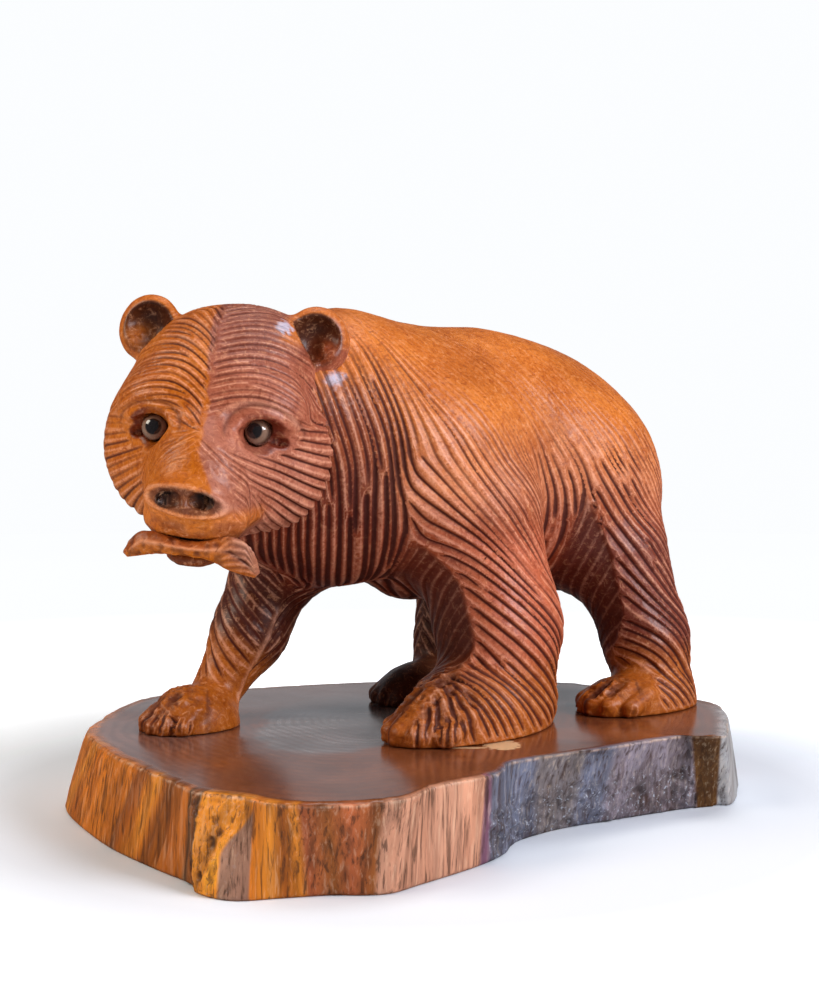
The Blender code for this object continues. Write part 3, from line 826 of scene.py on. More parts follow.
def head_relief(points):
    """Rims of the sockets, the dished nose, the lobes in the ears and the mouth's corner."""
    left, up, forward = head_coordinates(points)
    ahead = smooth(6.0, 12.0, forward)
    rim = socket_rim(left, up)
    lids = 0.2 * np.exp(-((rim - 1.04) / 0.09) ** 2)
    lids -= 0.3 * np.exp(-((rim - 1.28) / 0.09) ** 2) * smooth(-2.0, 1.0, up)
    lids += 1.1 * np.exp(-((rim - 0.84) / 0.15) ** 2) * smooth(0.0, 2.5, up)
    across, high = on_nose(left, up)
    out = np.sqrt(across ** 2 + high ** 2)
    nose = 0.8 * np.exp(-((out - 1.04) / 0.14) ** 2) - 1.3 * np.clip(1.0 - out ** 2, 0.0, 1.0)
    nose += 1.2 * np.exp(-(across / 0.10) ** 2 - ((high + 0.35) / 0.5) ** 2)
    corner = 1.5 * np.exp(-((left - 19.0) ** 2 + (up + 26.7) ** 2) / 16.0) * ahead
    lobe = ear_lobe(left, up, 31.2, 26.0, 16.0)
    lobe *= smooth(-9.0, -7.0, forward) * smooth(14.0, 10.0, forward)
    arc = np.sqrt(((left - 15.5) / 12.5) ** 2 + ((up - 0.5) / 9.3) ** 2)
    brow = 0.5 * np.exp(-((arc - 1.0) / 0.07) ** 2) * smooth(0.0, 3.0, up) * smooth(3.0, 6.0, left)
    chipped = smooth(24.0, 32.0, forward) * smooth(-22.0, -26.0, up)
    facets = 0.12 * noise(points, 6.0, 91.0) + 0.35 * noise(points, 2.2, 92.0) * chipped
    nose *= smooth(*NOSE_FRONT, forward)
    lift = facets + (lids + brow) * ahead + nose + corner + 3.0 * lobe
    # painted highlight on the rim of the nose pad and along the brows
    shine = 0.9 * np.exp(-((out - 1.06) / 0.10) ** 2) * smooth(*NOSE_FRONT, forward)
    shine += brow * 1.4 * ahead
    # painted shadow in the groove above each upper lid
    lid_shadow = np.exp(-((rim - 1.28) / 0.07) ** 2) * ahead * smooth(-2.0, 1.0, up)
    return lift, np.clip(shine, 0.0, 1.0), 0.6 * lid_shadow


# ---- strokes: evenly spaced cuts laid along the lie -----------------------------------------
STROKE_STEP = 0.8
STROKE_CELL = 2.6
STROKE_LEAST = 5                # fewest steps in a stroke
DEPTH_LEAST = 0.05              # where the wanted depth is less, nothing is cut
BEND_MOST = 0.45                # least cosine between a stroke's heading and the lie ahead
STEEP = 0.42                    # how far a stroke's bottom lies towards its upper wall


class Comb:
    """Lays strokes over a surface so that neighbours keep their spacing."""

    def __init__(self, points, normals, lie, spacing, depth, reach):
        self.reach = reach              # shortest and longest run, in steps
        self.points, self.normals, self.lie = (
            [Vector(row) for row in rows] for rows in (points, normals, lie))
        self.spacing = spacing.tolist()
        self.depth = depth.tolist()
        self.tree = KDTree(len(points))
        for index, point in enumerate(self.points):
            self.tree.insert(point, index)
        self.tree.balance()
        self.cells = {}
        self.strokes = []
        self.chance = random.Random(11)

    def cell(self, place):
        return (int(place.x // STROKE_CELL), int(place.y // STROKE_CELL),
                int(place.z // STROKE_CELL))

    def crowded(self, place, room):
        i, j, k = self.cell(place)
        limit = room * room
        for a in (i - 1, i, i + 1):
            for b in (j - 1, j, j + 1):
                for c in (k - 1, k, k + 1):
                    for other in self.cells.get((a, b, c), ()):
                        if (other - place).length_squared < limit:
                            return True
        return False

    def walk(self, index, way, steps):
        place = self.points[index].copy()
        heading = self.lie[index] * way
        line = []
        for _ in range(steps):
            place = place + heading * STROKE_STEP
            _, near, _ = self.tree.find(place)
            normal = self.normals[near]
            place = place - normal * (place - self.points[near]).dot(normal)
            wanted = self.lie[near] * way
            if self.depth[near] < DEPTH_LEAST or heading.dot(wanted) < BEND_MOST:
                break
            if self.crowded(place, self.spacing[near] * 0.55):
                break
            heading = heading + wanted
            heading = (heading - normal * heading.dot(normal)).normalized()
            line.append((place, heading * way, near))
        return line

    def try_stroke(self, index):
        room = self.spacing[index]
        if self.depth[index] < DEPTH_LEAST or self.crowded(self.points[index], room * 0.9):
            return None
        steps = int(self.chance.uniform(*self.reach))
        ahead = self.walk(index, 1.0, steps)
        back = self.walk(index, -1.0, steps // 2)
        line = back[::-1] + [(self.points[index], self.lie[index], index)] + ahead
        if len(line) < STROKE_LEAST:
            return None
        for place, _, _ in line:
            self.cells.setdefault(self.cell(place), []).append(place)
        self.strokes.append(line)
        return line

    def cover(self):
        order = [i for i, depth in enumerate(self.depth) if depth >= DEPTH_LEAST]
        self.chance.shuffle(order)
        for start in order:
            line = self.try_stroke(start)
            waiting = [line] if line else []
            while waiting:
                line = waiting.pop(0)
                for place, heading, near in line[1::4]:
                    side = self.normals[near].cross(heading) * (self.spacing[near] * 1.02)
                    for way in (1.0, -1.0):
                        _, beside, _ = self.tree.find(place + side * way)
                        fresh = self.try_stroke(beside)
                        if fresh:
                            waiting.append(fresh)
        return self.strokes


class Strokes:
    """Samples of all strokes, and how deep they cut at any point."""

    def __init__(self, comb):
        places, headings, widths, depths = [], [], [], []
        chance = random.Random(5)
        for line in comb.cover():
            force = chance.uniform(0.62, 1.15)
            breadth = chance.uniform(0.47, 0.56)
            count = len(line)
            for step, (place, heading, near) in enumerate(line):
                entry = min(1.0, (step + 0.5) / 3.0)
                exit_ = min(1.0, (count - step - 0.5) / 9.0)
                taper = math.sqrt(entry * exit_)
                places.append(place)
                headings.append(heading)
                widths.append(comb.spacing[near] * breadth * (0.3 + 0.7 * taper))
                depths.append(comb.depth[near] * force * taper)
        self.places = np.array(places)
        self.headings = np.array(headings)
        self.widths = np.array(widths)
        self.depths = np.array(depths)
        self.tree = KDTree(len(places))
        for index, place in enumerate(places):
            self.tree.insert(place, index)
        self.tree.balance()

    def cut(self, points, normals):
        """Depth of the cut in mm, how far up a wall, and which wall: above 0 is the upper one."""
        find = self.tree.find
        near = np.array([find(point)[1] for point in points.tolist()])
        offset = points - self.places[near]
        offset = offset - normals * (offset * normals).sum(1)[:, None]
        heading = self.headings[near]
        along = (offset * heading).sum(1)
        beside = np.cross(normals, heading)
        across = (offset * beside).sum(1) / self.widths[near]
        past = np.maximum(np.abs(along) - STROKE_STEP * 0.6, 0.0) / self.widths[near]
        upward = np.clip(beside[:, 2] * 3.0, -1.0, 1.0)
        tilt = STEEP * upward
        swing = across - tilt
        rise = np.where(swing > 0, swing / (1.0 - tilt), -swing / (1.0 + tilt))
        rise = np.sqrt(rise ** 2 + past ** 2)
        depth = self.depths[near]
        return depth * np.clip(1.0 - rise, 0.0, 1.0), rise, swing * upward, depth


# ---- colour laid down by place -------------------------------------------------------------
def plain(colour, points):
    return np.tile(np.array(colour), (len(points), 1))


def paint(stain, colour, share):
    """Lay a colour over the colour so far where share says so."""
    return mix(stain, np.array(colour)[None, :], share)


def coated(stain, coats):
    """Lay several colours over the colour so far, one after the other."""
    for colour, share in coats:
        stain = paint(stain, colour, share)
    return stain


def reflection_spot(points, middle, size):
    """A small painted reflection, pale blue with a speckled edge, on what faces the left front."""
    away = points - np.array(middle)
    deep = away @ LEFT_FRONT
    away = away - LEFT_FRONT * deep[:, None]
    speckle = noise(points, 1.2, 17.0)
    spot = smooth(1.15, 0.75, np.sqrt((away ** 2).sum(1)) / size + 0.5 * speckle)
    return REFLECTION_BLUE, spot * smooth(30.0, 25.0, np.abs(deep)) * 0.8


GOLD = (0.57, 0.145, 0.003)
TAWNY = (0.42, 0.105, 0.012)
MAUVE = (0.42, 0.120, 0.064)
DUSKY_MAUVE = (0.25, 0.070, 0.045)
PALE_MAUVE = (0.50, 0.180, 0.110)
ORANGE = (0.66, 0.185, 0.022)
RUSSET = (0.58, 0.190, 0.085)
RED_BROWN = (0.34, 0.058, 0.012)
# a dark brown laid on as painted shade: in the sockets, on the chest and under the body
SHADE_BROWN = (0.150, 0.014, 0.004)
ROSE = (0.60, 0.155, 0.070)
PAW_GOLD = (0.48, 0.125, 0.008)
# a near-black brown laid on as painted shade in the ear cups
CUP_SHADE = (0.050, 0.011, 0.005)
LOBE_GOLD = (0.46, 0.125, 0.014)
LOBE_RED = (0.36, 0.070, 0.016)
NOSE_BROWN = (0.17, 0.050, 0.022)
LIP_BROWN = (0.30, 0.075, 0.018)
JAW_BROWN = (0.16, 0.030, 0.008)
# near black, laid on as painted shade in the nostrils and the mouth
HOLE_SHADE = (0.012, 0.005, 0.004)
THIGH_BROWN = (0.21, 0.050, 0.030)
FORELEG_BROWN = (0.075, 0.014, 0.005)
# dark browns laid on as painted shade, over the right hind leg and on the inner faces of the left
# legs
HINDLEG_SHADE = (0.075, 0.022, 0.012)
INNER_SHADE = (0.12, 0.022, 0.009)
INSTEP_BROWN = (0.15, 0.048, 0.013)
# the pale blue of the painted reflections
REFLECTION_BLUE = (0.62, 0.66, 0.86)
# where the two painted reflections sit
HEAD_SPOT = ((52.7, -101.5, 137.2), 2.4)        # middle and radius
NECK_SPOT = ((26.9, -61.6, 121.0), 3.2)


def head_stain(points, normals):
    """The gold and mauve halves of the face, with painted shade in the ear cups, sockets, nostrils
    and mouth, and a painted reflection.
    """
    left, up, forward = head_coordinates(points)
    side = np.abs(left)
    drift = noise(points, 14.0, 3.0) * 0.5 + noise(points, 5.0, 4.0) * 0.3
    gold = paint(plain(GOLD, points), TAWNY, smooth(0.0, 0.5, drift) * 0.6)
    mauve = coated(plain(MAUVE, points), (
        (DUSKY_MAUVE, smooth(16.0, 30.0, up + 5.0 * drift) * 0.7),
        (PALE_MAUVE, smooth(4.0, -8.0, up) * 0.7)))
    line = 1.0 - 3.0 * smooth(5.0, 30.0, up) + 6.0 * smooth(-4.0, -18.0, up)
    half = smooth(-0.5, 0.5, left - line + noise(points, 4.0, 6.0) * 0.8)
    on_snout = smooth(24.0, 30.0, forward)
    hollows = cuts()
    details = face_details()
    cup = group_value(points, hollows[:2] + details[:2])
    socket = group_value(points, hollows[2:4] + details[2:4])
    holes = group_value(points, details[4:] + hollows[4:])
    lobe = ear_lobe(left, up, 31.4, 25.6, 24.0)
    across, high = on_nose(left, up)
    pad = smooth(1.0, 0.8, across ** 2 + high ** 2) * smooth(*NOSE_FRONT, forward)
    lip = smooth(-25.0, -27.0, up) * on_snout * smooth(-0.4, 0.4, noise(points, 3.0, 7.0))
    jaw = smooth(-34.0, -35.5, up) * smooth(10.0, 16.0, forward)
    stain = coated(mix(gold, mauve, half), (
        (ORANGE, smooth(-21.0, -25.0, up) * on_snout * 0.85),
        (ORANGE, smooth(26.0, 30.0, up) * smooth(18.0, 22.0, side) * 0.85),
        # painted shade deep in the ear cups
        (CUP_SHADE, smooth(1.6, 0.5, cup) * 0.95),
        # painted shade in the eye sockets, most at their outer corners
        (SHADE_BROWN, smooth(1.0, 0.2, socket) * (0.35 + 0.55 * smooth(17.0, 21.0, side))),
        (LOBE_GOLD, lobe * smooth(0.5, -0.5, left)),
        (LOBE_RED, lobe * smooth(-0.5, 0.5, left)),
        (NOSE_BROWN, pad * 0.9),
        (LIP_BROWN, lip * 0.7),
        (JAW_BROWN, jaw * 0.85),
        # a painted reflection
        reflection_spot(points, *HEAD_SPOT),
        # painted shade, near black, in the nostrils and the mouth
        (HOLE_SHADE, smooth(1.0, 0.3, holes) * 0.95)))
    return stain * (1.0 + 0.18 * drift)[:, None]


def body_stain(points, normals):
    """Orange back, paler flank, red chest and belly, brown legs and golden paws, with painted shade
    on the chest, the right hind leg, the inner faces of the left legs and all that looks down, and
    a painted reflection.
    """
    east, north, level = points.T
    drift = noise(points, 26.0, 3.0) * 0.5 + noise(points, 9.0, 4.0) * 0.25
    reaching = smooth(-2.0, -8.0, east) * smooth(-28.0, -38.0, north)
    stepping = smooth(2.0, -4.0, east) * smooth(-31.0, -24.0, north)
    fore = smooth(76.0, 60.0, level) * smooth(6.0, 16.0, east) * smooth(38.0, 30.0, north)
    hind = smooth(76.0, 60.0, level) * smooth(8.0, 16.0, east) * smooth(34.0, 44.0, north)
    over_paws = level + drift * 6 + 0.8 * reaching * (north + 66.0)
    stain = coated(plain(ORANGE, points), (
        (RUSSET, smooth(116.0, 74.0, level + drift * 12)),
        (RED_BROWN, smooth(88.0, 64.0, level + drift * 8)),
        # the chest darker: its own red-brown deepened by painted shade
        (SHADE_BROWN, smooth(-40.0, -58.0, north) * smooth(128.0, 108.0, level) * 0.75),
        (ROSE, fore * 0.9),
        (THIGH_BROWN, hind * 0.85),
        (FORELEG_BROWN, reaching * smooth(70.0, 54.0, level) * 0.9),
        (PAW_GOLD, smooth(30.0, 14.0, over_paws) * 0.9),
        # painted shade over the right hind leg, low on the right side
        (HINDLEG_SHADE, stepping * smooth(78.0, 60.0, level) * 0.9)))
    body = group_value(points, body_masses())
    limbs = leg_masses()
    for leg in (FORE_LEFT, HIND_LEFT):
        _, turn = leg.lie(points)
        # painted shade on the inner faces of the left legs
        inner = smooth(0.02, -0.12, turn) * smooth(-2.9, -2.5, turn) * smooth(16.0, 26.0, level)
        inner *= leg_weight(points, leg, body, group_value(points, limbs[leg.masses]))
        stain = paint(stain, INNER_SHADE, inner * 0.75)
    instep = np.exp(-((points - np.array((47.0, -30.0, 13.0))) ** 2).sum(1) / 12.0 ** 2)
    # painted shade on all that looks downward
    under = smooth(-0.1, -0.8, normals[:, 2]) * smooth(20.0, 40.0, level)
    stain = coated(stain, (
        (INSTEP_BROWN, instep * 0.7),
        # a painted reflection
        reflection_spot(points, *NECK_SPOT),
        (SHADE_BROWN, under * 0.5)))
    return stain * (1.0 + 0.2 * drift)[:, None]


# ---- nodes ------------------------------------------------------------------------------------
class Shader:
    """A Principled material with short calls for its procedural nodes."""

    def __init__(self, name):
        self.material = bpy.data.materials.new(name)
        self.material.use_nodes = True
        self.tree = self.material.node_tree
        self.nodes = self.tree.nodes
        self.surface = self.nodes["Principled BSDF"]

    def link(self, source, target):
        self.tree.links.new(source, target)

    def node(self, kind, **settings):
        made = self.nodes.new(kind)
        for key, value in settings.items():
            setattr(made, key, value)
        return made

    def attribute(self, name):
        return self.node("ShaderNodeAttribute", attribute_name=name)

    def factors(self, *names):
        """The values kept for each vertex under these names."""
        return [self.attribute(name).outputs["Fac"] for name in names]

    def place(self, scale=(1, 1, 1)):
        """Object coordinates in metres, stretched."""
        coordinates = self.node("ShaderNodeTexCoord")
        mapping = self.node("ShaderNodeMapping")
        mapping.inputs["Scale"].default_value = scale
        self.link(coordinates.outputs["Object"], mapping.inputs["Vector"])
        return mapping.outputs["Vector"]

    def oval(self, middle, radii, turn):
        """Distance from a flat oval's middle, 1 at its edge; sizes in mm in the carver's frame."""
        mapping = self.node("ShaderNodeMapping", vector_type="TEXTURE")
        self.link(self.node("ShaderNodeTexCoord").outputs["Object"], mapping.inputs["Vector"])
        place = (np.array((*middle, 0.0)) + SHIFT) * 0.001
        mapping.inputs["Location"].default_value = place.tolist()
        mapping.inputs["Rotation"].default_value = (0.0, 0.0, math.radians(turn))
        mapping.inputs["Scale"].default_value = (radii[0] * 0.001, radii[1] * 0.001, 1.0)
        distance = self.node("ShaderNodeVectorMath", operation="LENGTH")
        self.link(mapping.outputs["Vector"], distance.inputs[0])
        return distance.outputs["Value"]

    def fill(self, socket, value):
        """Set a socket to a number or a colour, or link it."""
        if isinstance(value, tuple):
            socket.default_value = (*value, 1.0)
        elif isinstance(value, (int, float)):
            socket.default_value = value
        else:
            self.link(value, socket)

    def filled(self, kind, output, **inputs):
        """A node with its sockets filled; an underscore stands for a space in their names."""
        made = self.node(kind)
        for name, value in inputs.items():
            self.fill(made.inputs[name.replace("_", " ")], value)
        return made.outputs[output]

    def noise(self, place, scale, detail=4.0, roughness=0.55, distortion=0.0):
        return self.filled("ShaderNodeTexNoise", "Fac", Vector=place, Scale=scale, Detail=detail,
                           Roughness=roughness, Distortion=distortion)

    def span(self, value, low, high, to_low=0.0, to_high=1.0):
        return self.filled("ShaderNodeMapRange", "Result", Value=value, From_Min=low,
                           From_Max=high, To_Min=to_low, To_Max=to_high)

    def math(self, operation, one, *others):
        """One operation over two or more values, from the left."""
        for other in others:
            made = self.node("ShaderNodeMath", operation=operation)
            self.fill(made.inputs[0], one)
            self.fill(made.inputs[1], other)
            one = made.outputs["Value"]
        return one

    def blend(self, share, one, other, kind="MIX"):
        made = self.node("ShaderNodeMix", data_type="RGBA", blend_type=kind)
        for value, socket in ((share, "Factor"), (one, 6), (other, 7)):
            self.fill(made.inputs[socket], value)
        return made.outputs[2]

    def over(self, colour, value, low, high, most, tint, kind="MIX"):
        """A tint laid over a colour, from nothing at the low value to most at the high one."""
        return self.blend(self.span(value, low, high, 0.0, most), colour, tint, kind)

    def bump(self, height, strength, distance, under=None):
        made = self.node("ShaderNodeBump")
        made.inputs["Strength"].default_value = strength
        made.inputs["Distance"].default_value = distance
        self.link(height, made.inputs["Height"])
        if under:
            self.link(under, made.inputs["Normal"])
        return made.outputs["Normal"]

    def set(self, **values):
        names = {"colour": "Base Color", "roughness": "Roughness", "normal": "Normal",
                 "coat": "Coat Weight", "coat_roughness": "Coat Roughness",
                 "specular": "Specular IOR Level", "glow": "Emission Color",
                 "glow_strength": "Emission Strength"}
        for key, value in values.items():
            self.fill(self.surface.inputs[names[key]], value)
        return self.material


def carved_wood(name):
    """Varnished carved wood: colour by place, painted shade in the cuts, painted highlights on the
    ridges, fine pores.
    """
    shade = Shader(name)
    stain = shade.attribute("stain").outputs["Color"]
    rise, swing, force, shine, dark = shade.factors("rise", "swing", "force", "shine", "shade")
    place = shade.place()
    cloud = shade.noise(place, 60.0, 4.0, 0.6)
    fleck = shade.noise(shade.place((60, 18, 60)), 16.0, 6.0, 0.7)
    pores = shade.noise(place, 1000.0, 3.0, 0.6)
    fibre = shade.noise(place, 420.0, 5.0, 0.75, 1.0)
    colour = shade.over(stain, cloud, 0.66, 0.36, 0.55, (0.60, 0.42, 0.30), "MULTIPLY")
    colour = shade.over(colour, fibre, 0.50, 0.34, 0.7, (0.50, 0.30, 0.18), "MULTIPLY")
    colour = shade.over(colour, fibre, 0.54, 0.70, 0.45, (0.86, 0.40, 0.20))
    colour = shade.over(colour, fleck, 0.54, 0.70, 0.5, (0.12, 0.016, 0.004))
    # painted shade on the upper wall of each cut, standing in for the shadow under each ridge
    wall = shade.math("MULTIPLY", shade.span(swing, 0.0, 0.2), shade.span(rise, 0.95, 0.35),
                      force, 0.55)
    colour = shade.blend(wall, colour, (0.16, 0.018, 0.005))
    # painted shade in the bottom of each cut, with stain gathered there too, and wherever shade is
    # marked
    width = shade.span(shade.math("ABSOLUTE", swing, 0.0), 0.34, 0.10)
    bottom = shade.math("MULTIPLY", width, shade.span(rise, 0.66, 0.42), force)
    bottom = shade.math("MAXIMUM", bottom, dark)
    colour = shade.blend(shade.math("MULTIPLY", bottom, 0.9), colour, (0.055, 0.005, 0.002))
    # painted highlight along the lit edge of each ridge, and wherever shine is marked
    edge = shade.math("MULTIPLY", shade.span(rise, 0.66, 0.92), shade.span(rise, 1.25, 1.05),
                      shade.span(force, 0.0, 0.35), shade.span(swing, 0.4, -0.4, 0.35, 1.0),
                      shade.span(dark, 0.0, 0.8, 1.0, 0.1))
    edge = shade.math("MAXIMUM", edge, shine)
    edge = shade.math("MULTIPLY", edge, shade.span(fibre, 0.34, 0.54, 0.15, 0.72))
    # the pale pink of the painted highlight
    crest = shade.blend(0.55, stain, (0.90, 0.43, 0.27))
    colour = shade.blend(edge, colour, crest)
    rough = shade.math("ADD", shade.span(cloud, 0.3, 0.7, 0.32, 0.44),
                       shade.span(bottom, 0.1, 0.8, 0.0, 0.35))
    normal = shade.bump(fibre, 0.40, 0.0004, shade.bump(pores, 0.25, 0.0002))
    return shade.set(colour=colour, roughness=rough, normal=normal, specular=0.28, coat=0.06,
                     coat_roughness=0.22)


def eye_glass(name):
    """A dark pupil on a tan ball under clear gloss, by the angle from the gaze, with painted shade
    towards the ball's rim.
    """
    shade = Shader(name)
    gaze, = shade.factors("gaze")
    streak = shade.noise(shade.place(), 700.0, 3.0)
    ball = shade.blend(streak, (0.16, 0.085, 0.055), (0.30, 0.18, 0.125))
    # painted shade where the ball turns away into the socket
    ball = shade.over(ball, gaze, 0.95, 1.25, 1.0, (0.05, 0.022, 0.014))
    colour = shade.over(ball, gaze, 0.70, 0.56, 1.0, (0.012, 0.009, 0.010))
    rough = shade.span(streak, 0.2, 0.8, 0.04, 0.09)
    return shade.set(colour=colour, roughness=rough, coat=0.6, coat_roughness=0.03)


# bare or dark spots in the sawn top: middle, half-sizes, turn (degrees), colour
BARE_SPOTS = (
    ((70.0, -25.0), (6.2, 8.5), 52.0, (0.74, 0.50, 0.28)),
    ((66.0, -37.0), (7.0, 1.6), 52.0, (0.66, 0.44, 0.24)),
    ((29.0, 46.0), (2.0, 5.0), 52.0, (0.02, 0.012, 0.012)),
)


def slab_wood(name):
    """The plinth: glossy ringed top, streaked and barked sides, with painted shade in the side's
    pits and painted glints on the bark.
    """
    shade = Shader(name)
    stain = shade.attribute("stain").outputs["Color"]
    side, ring, bark, groove = shade.factors("side", "ring", "bark", "groove")
    place = shade.place()
    tall = shade.place((1, 1, 0.07))
    cloud = shade.noise(place, 22.0, 4.0)
    streak = shade.noise(tall, 260.0, 6.0, 0.65)
    broad = shade.noise(tall, 70.0, 3.0)
    fine = shade.noise(place, 420.0, 5.0, 0.65)
    scratch = shade.noise(tall, 820.0, 4.0, 0.6, 0.4)
    glint = shade.noise(place, 1100.0, 2.0, 0.5)

    wave = shade.math("ADD", shade.math("MULTIPLY", ring, 190.0),
                      shade.math("MULTIPLY", cloud, 26.0))
    rings = shade.math("SINE", wave, 0.0)
    finer = shade.math("SINE", shade.math("MULTIPLY", wave, 3.3), 0.0)
    top = shade.over(stain, rings, -0.6, 1.0, 0.42, (0.085, 0.026, 0.014))
    top = shade.over(top, finer, 0.2, 1.0, 0.16, (0.075, 0.022, 0.012))
    top = shade.over(top, cloud, 0.46, 0.76, 0.5, (0.075, 0.024, 0.014))
    top = shade.over(top, fine, 0.55, 0.75, 0.25, (0.42, 0.18, 0.09))
    wobble = shade.span(fine, 0.3, 0.7, -0.25, 0.25)
    for middle, radii, turn, colour in BARE_SPOTS:
        away = shade.math("ADD", shade.oval(middle, radii, turn), wobble)
        top = shade.over(top, away, 1.0, 0.82, 1.0, colour)

    pale = shade.blend(0.35, stain, (0.95, 0.72, 0.48))
    edge = shade.over(stain, broad, 0.62, 0.38, 0.5, (0.50, 0.36, 0.26), "MULTIPLY")
    edge = shade.over(edge, streak, 0.52, 0.70, 0.75, (0.060, 0.018, 0.005))
    edge = shade.over(edge, streak, 0.42, 0.30, 0.30, pale)
    edge = shade.over(edge, scratch, 0.53, 0.64, 0.70, (0.050, 0.018, 0.007))
    edge = shade.over(edge, scratch, 0.44, 0.34, 0.45, pale)
    # painted shade in the pits and grooves of the side
    edge = shade.over(edge, groove, 0.3, 1.0, 0.8, (0.03, 0.012, 0.007))
    mottle = shade.span(shade.noise(place, 330.0, 4.0, 0.7), 0.40, 0.60, 0.0, 0.55)
    edge = shade.blend(shade.math("MULTIPLY", bark, mottle), edge, (0.075, 0.058, 0.060))
    # painted glints, pale blue-white, scattered over the bark
    painted_glints = shade.math("MULTIPLY", bark, shade.span(fine, 0.44, 0.58),
                        shade.span(glint, 0.56, 0.68, 0.0, 0.8))
    edge = shade.blend(painted_glints, edge, (0.50, 0.53, 0.60))

    rough = shade.math("ADD", shade.span(side, 0.0, 1.0, 0.20, 0.46),
                       shade.span(cloud, 0.3, 0.7, -0.05, 0.07))
    height = shade.math("ADD", shade.math("MULTIPLY", streak, side),
                        shade.math("MULTIPLY", cloud, 0.35))
    normal = shade.bump(fine, 0.16, 0.0002, shade.bump(height, 0.5, 0.0006))
    return shade.set(colour=shade.blend(side, top, edge), roughness=rough, normal=normal,
                     specular=0.3, coat=shade.span(side, 0.0, 1.0, 0.35, 0.06),
                     coat_roughness=0.15)


# ---- pieces ---------------------------------------------------------------------------------
def note(mesh, **layers):
    """Keep values or colours for each vertex, by name."""
    for name, values in layers.items():
        values = np.asarray(values, np.float32)
        if values.ndim == 1:
            mesh.attributes.new(name, "FLOAT", "POINT").data.foreach_set("value", values)
            continue
        colour = np.ones((len(values), 4), np.float32)
        colour[:, :3] = np.clip(values, 0.0, 1.0)
        layer = mesh.attributes.new(name, "FLOAT_COLOR", "POINT")
        layer.data.foreach_set("color", colour.ravel())


def dress(obj, node, finish):
    """Into metres, with its material, riding on the frame in the node's place."""
    set_points(obj.data, (get_points(obj.data) + SHIFT) * 0.001)
    obj.data.materials.clear()
    obj.data.materials.append(finish)
    obj.data.shade_smooth()
    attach(obj, "root")
    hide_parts(node)


def seats():
    """Room for the eye balls and for the salmon, as hollows in the bear's form."""
    head = HEAD_MATRIX
    room = EYE_RADIUS + GAP
    hollows = mirrored(lambda s: Egg(eye_place(s), (room, room, room), blend=0.3, frame=head))
    spine = fish_spine()
    for start, end in zip(spine[1:-2], spine[2:-1]):
        hollows.append(Limb(start, end, 3.0, 3.0, blend=0.3, frame=head))
    return hollows


def face_details():
    """Deep ear cups, almond eye corners and nostrils."""
    head = HEAD_MATRIX
    hollows = mirrored(lambda s: Egg((s * 28.2 + CROWN_SHIFT, -2.0, 30.2), (8.3, 7.6, 8.4),
                                     (-8, 0, s * 16), blend=0.6, frame=head))
    hollows += mirrored(lambda s: Egg((s * 22.6, -27, -2.6), (4.2, 5.0, 1.7), (0, s * 16, s * 28),
                                      blend=1.0, frame=head))
    hollows += mirrored(lambda s: Egg((s * 5.3 - 1.2, -54.5, -19.9), (2.9, 5.0, 1.5), (0, s * 8, 0),
                                      blend=0.5, frame=head))
    return hollows


def in_sides(obj, name):
    """Part a body at the seam; the capped sides run a little past each other."""
    other = new_object(name, obj.data.copy())
    for half, hand in ((obj, 1.0), (other, -1.0)):
        cut_plane(half.data, (SEAM - hand * GAP, 0, 0), (hand, 0, 0))
    return obj, other


def crisp_caps(mesh):
    """Keep the rim between a side and its flat cap sharp."""
    with editing(mesh) as bm:
        for edge in bm.edges:
            flat = [abs(face.normal.x) > 0.999 for face in edge.link_faces]
            if abs(edge.verts[0].co.x - SEAM) < 2 * GAP and len(set(flat)) > 1:
                edge.smooth = False


def carved(names, masses, hollows, plan, relief, stain, voxels, reach, faces):
    """Skin some masses, cut their strokes, thin the mesh and note depth, painted light and colour.

    One name and number of faces for a whole, or one for each side of the seam.
    """
    form = Form(masses, hollows)
    obj = carve_form(names[0], form, voxels[0])
    points = get_points(obj.data)
    normals = form_normals(points, form)
    strokes = Strokes(Comb(points, normals, *plan(points, normals), reach))
    fine = Form(masses, hollows + seats())
    remesh(obj, voxels[1])
    set_points(obj.data, settle(get_points(obj.data), fine, 2))
    points = get_points(obj.data)
    normals = vertex_normals(obj.data)
    cut = strokes.cut(points, normals)[0]
    grit = 0.07 * noise(points, 3.2, 31.0) + 0.05 * noise(points, 1.4, 32.0)
    calm = smooth(0.0, 4.0, points[:, 2])
    lift = grit * calm + relief(points)[0] - cut
    set_points(obj.data, points + normals * lift[:, None])
    pieces = in_sides(obj, names[1]) if len(names) > 1 else (obj,)
    for piece, count in zip(pieces, faces):
        thin(piece, count)
        if get_points(piece.data)[:, 2].min() < GAP:
            cut_plane(piece.data, (0, 0, GAP), (0, 0, 1))
        if len(pieces) > 1:
            crisp_caps(piece.data)
        points = get_points(piece.data)
        normals = form_normals(points, form)
        _, rise, swing, depth = strokes.cut(points, normals)
        _, shine, shade = relief(points)
        # shine and shade hold painted highlight and painted shade; the colour holds stain together
        # with painted shade and painted reflections
        note(piece.data, rise=np.clip(rise, 0.0, 1.5), swing=np.clip(swing, -1.5, 1.5),
             force=smooth(0.08, 0.85, depth), shine=shine, shade=shade,
             stain=stain(points, normals))
    return pieces


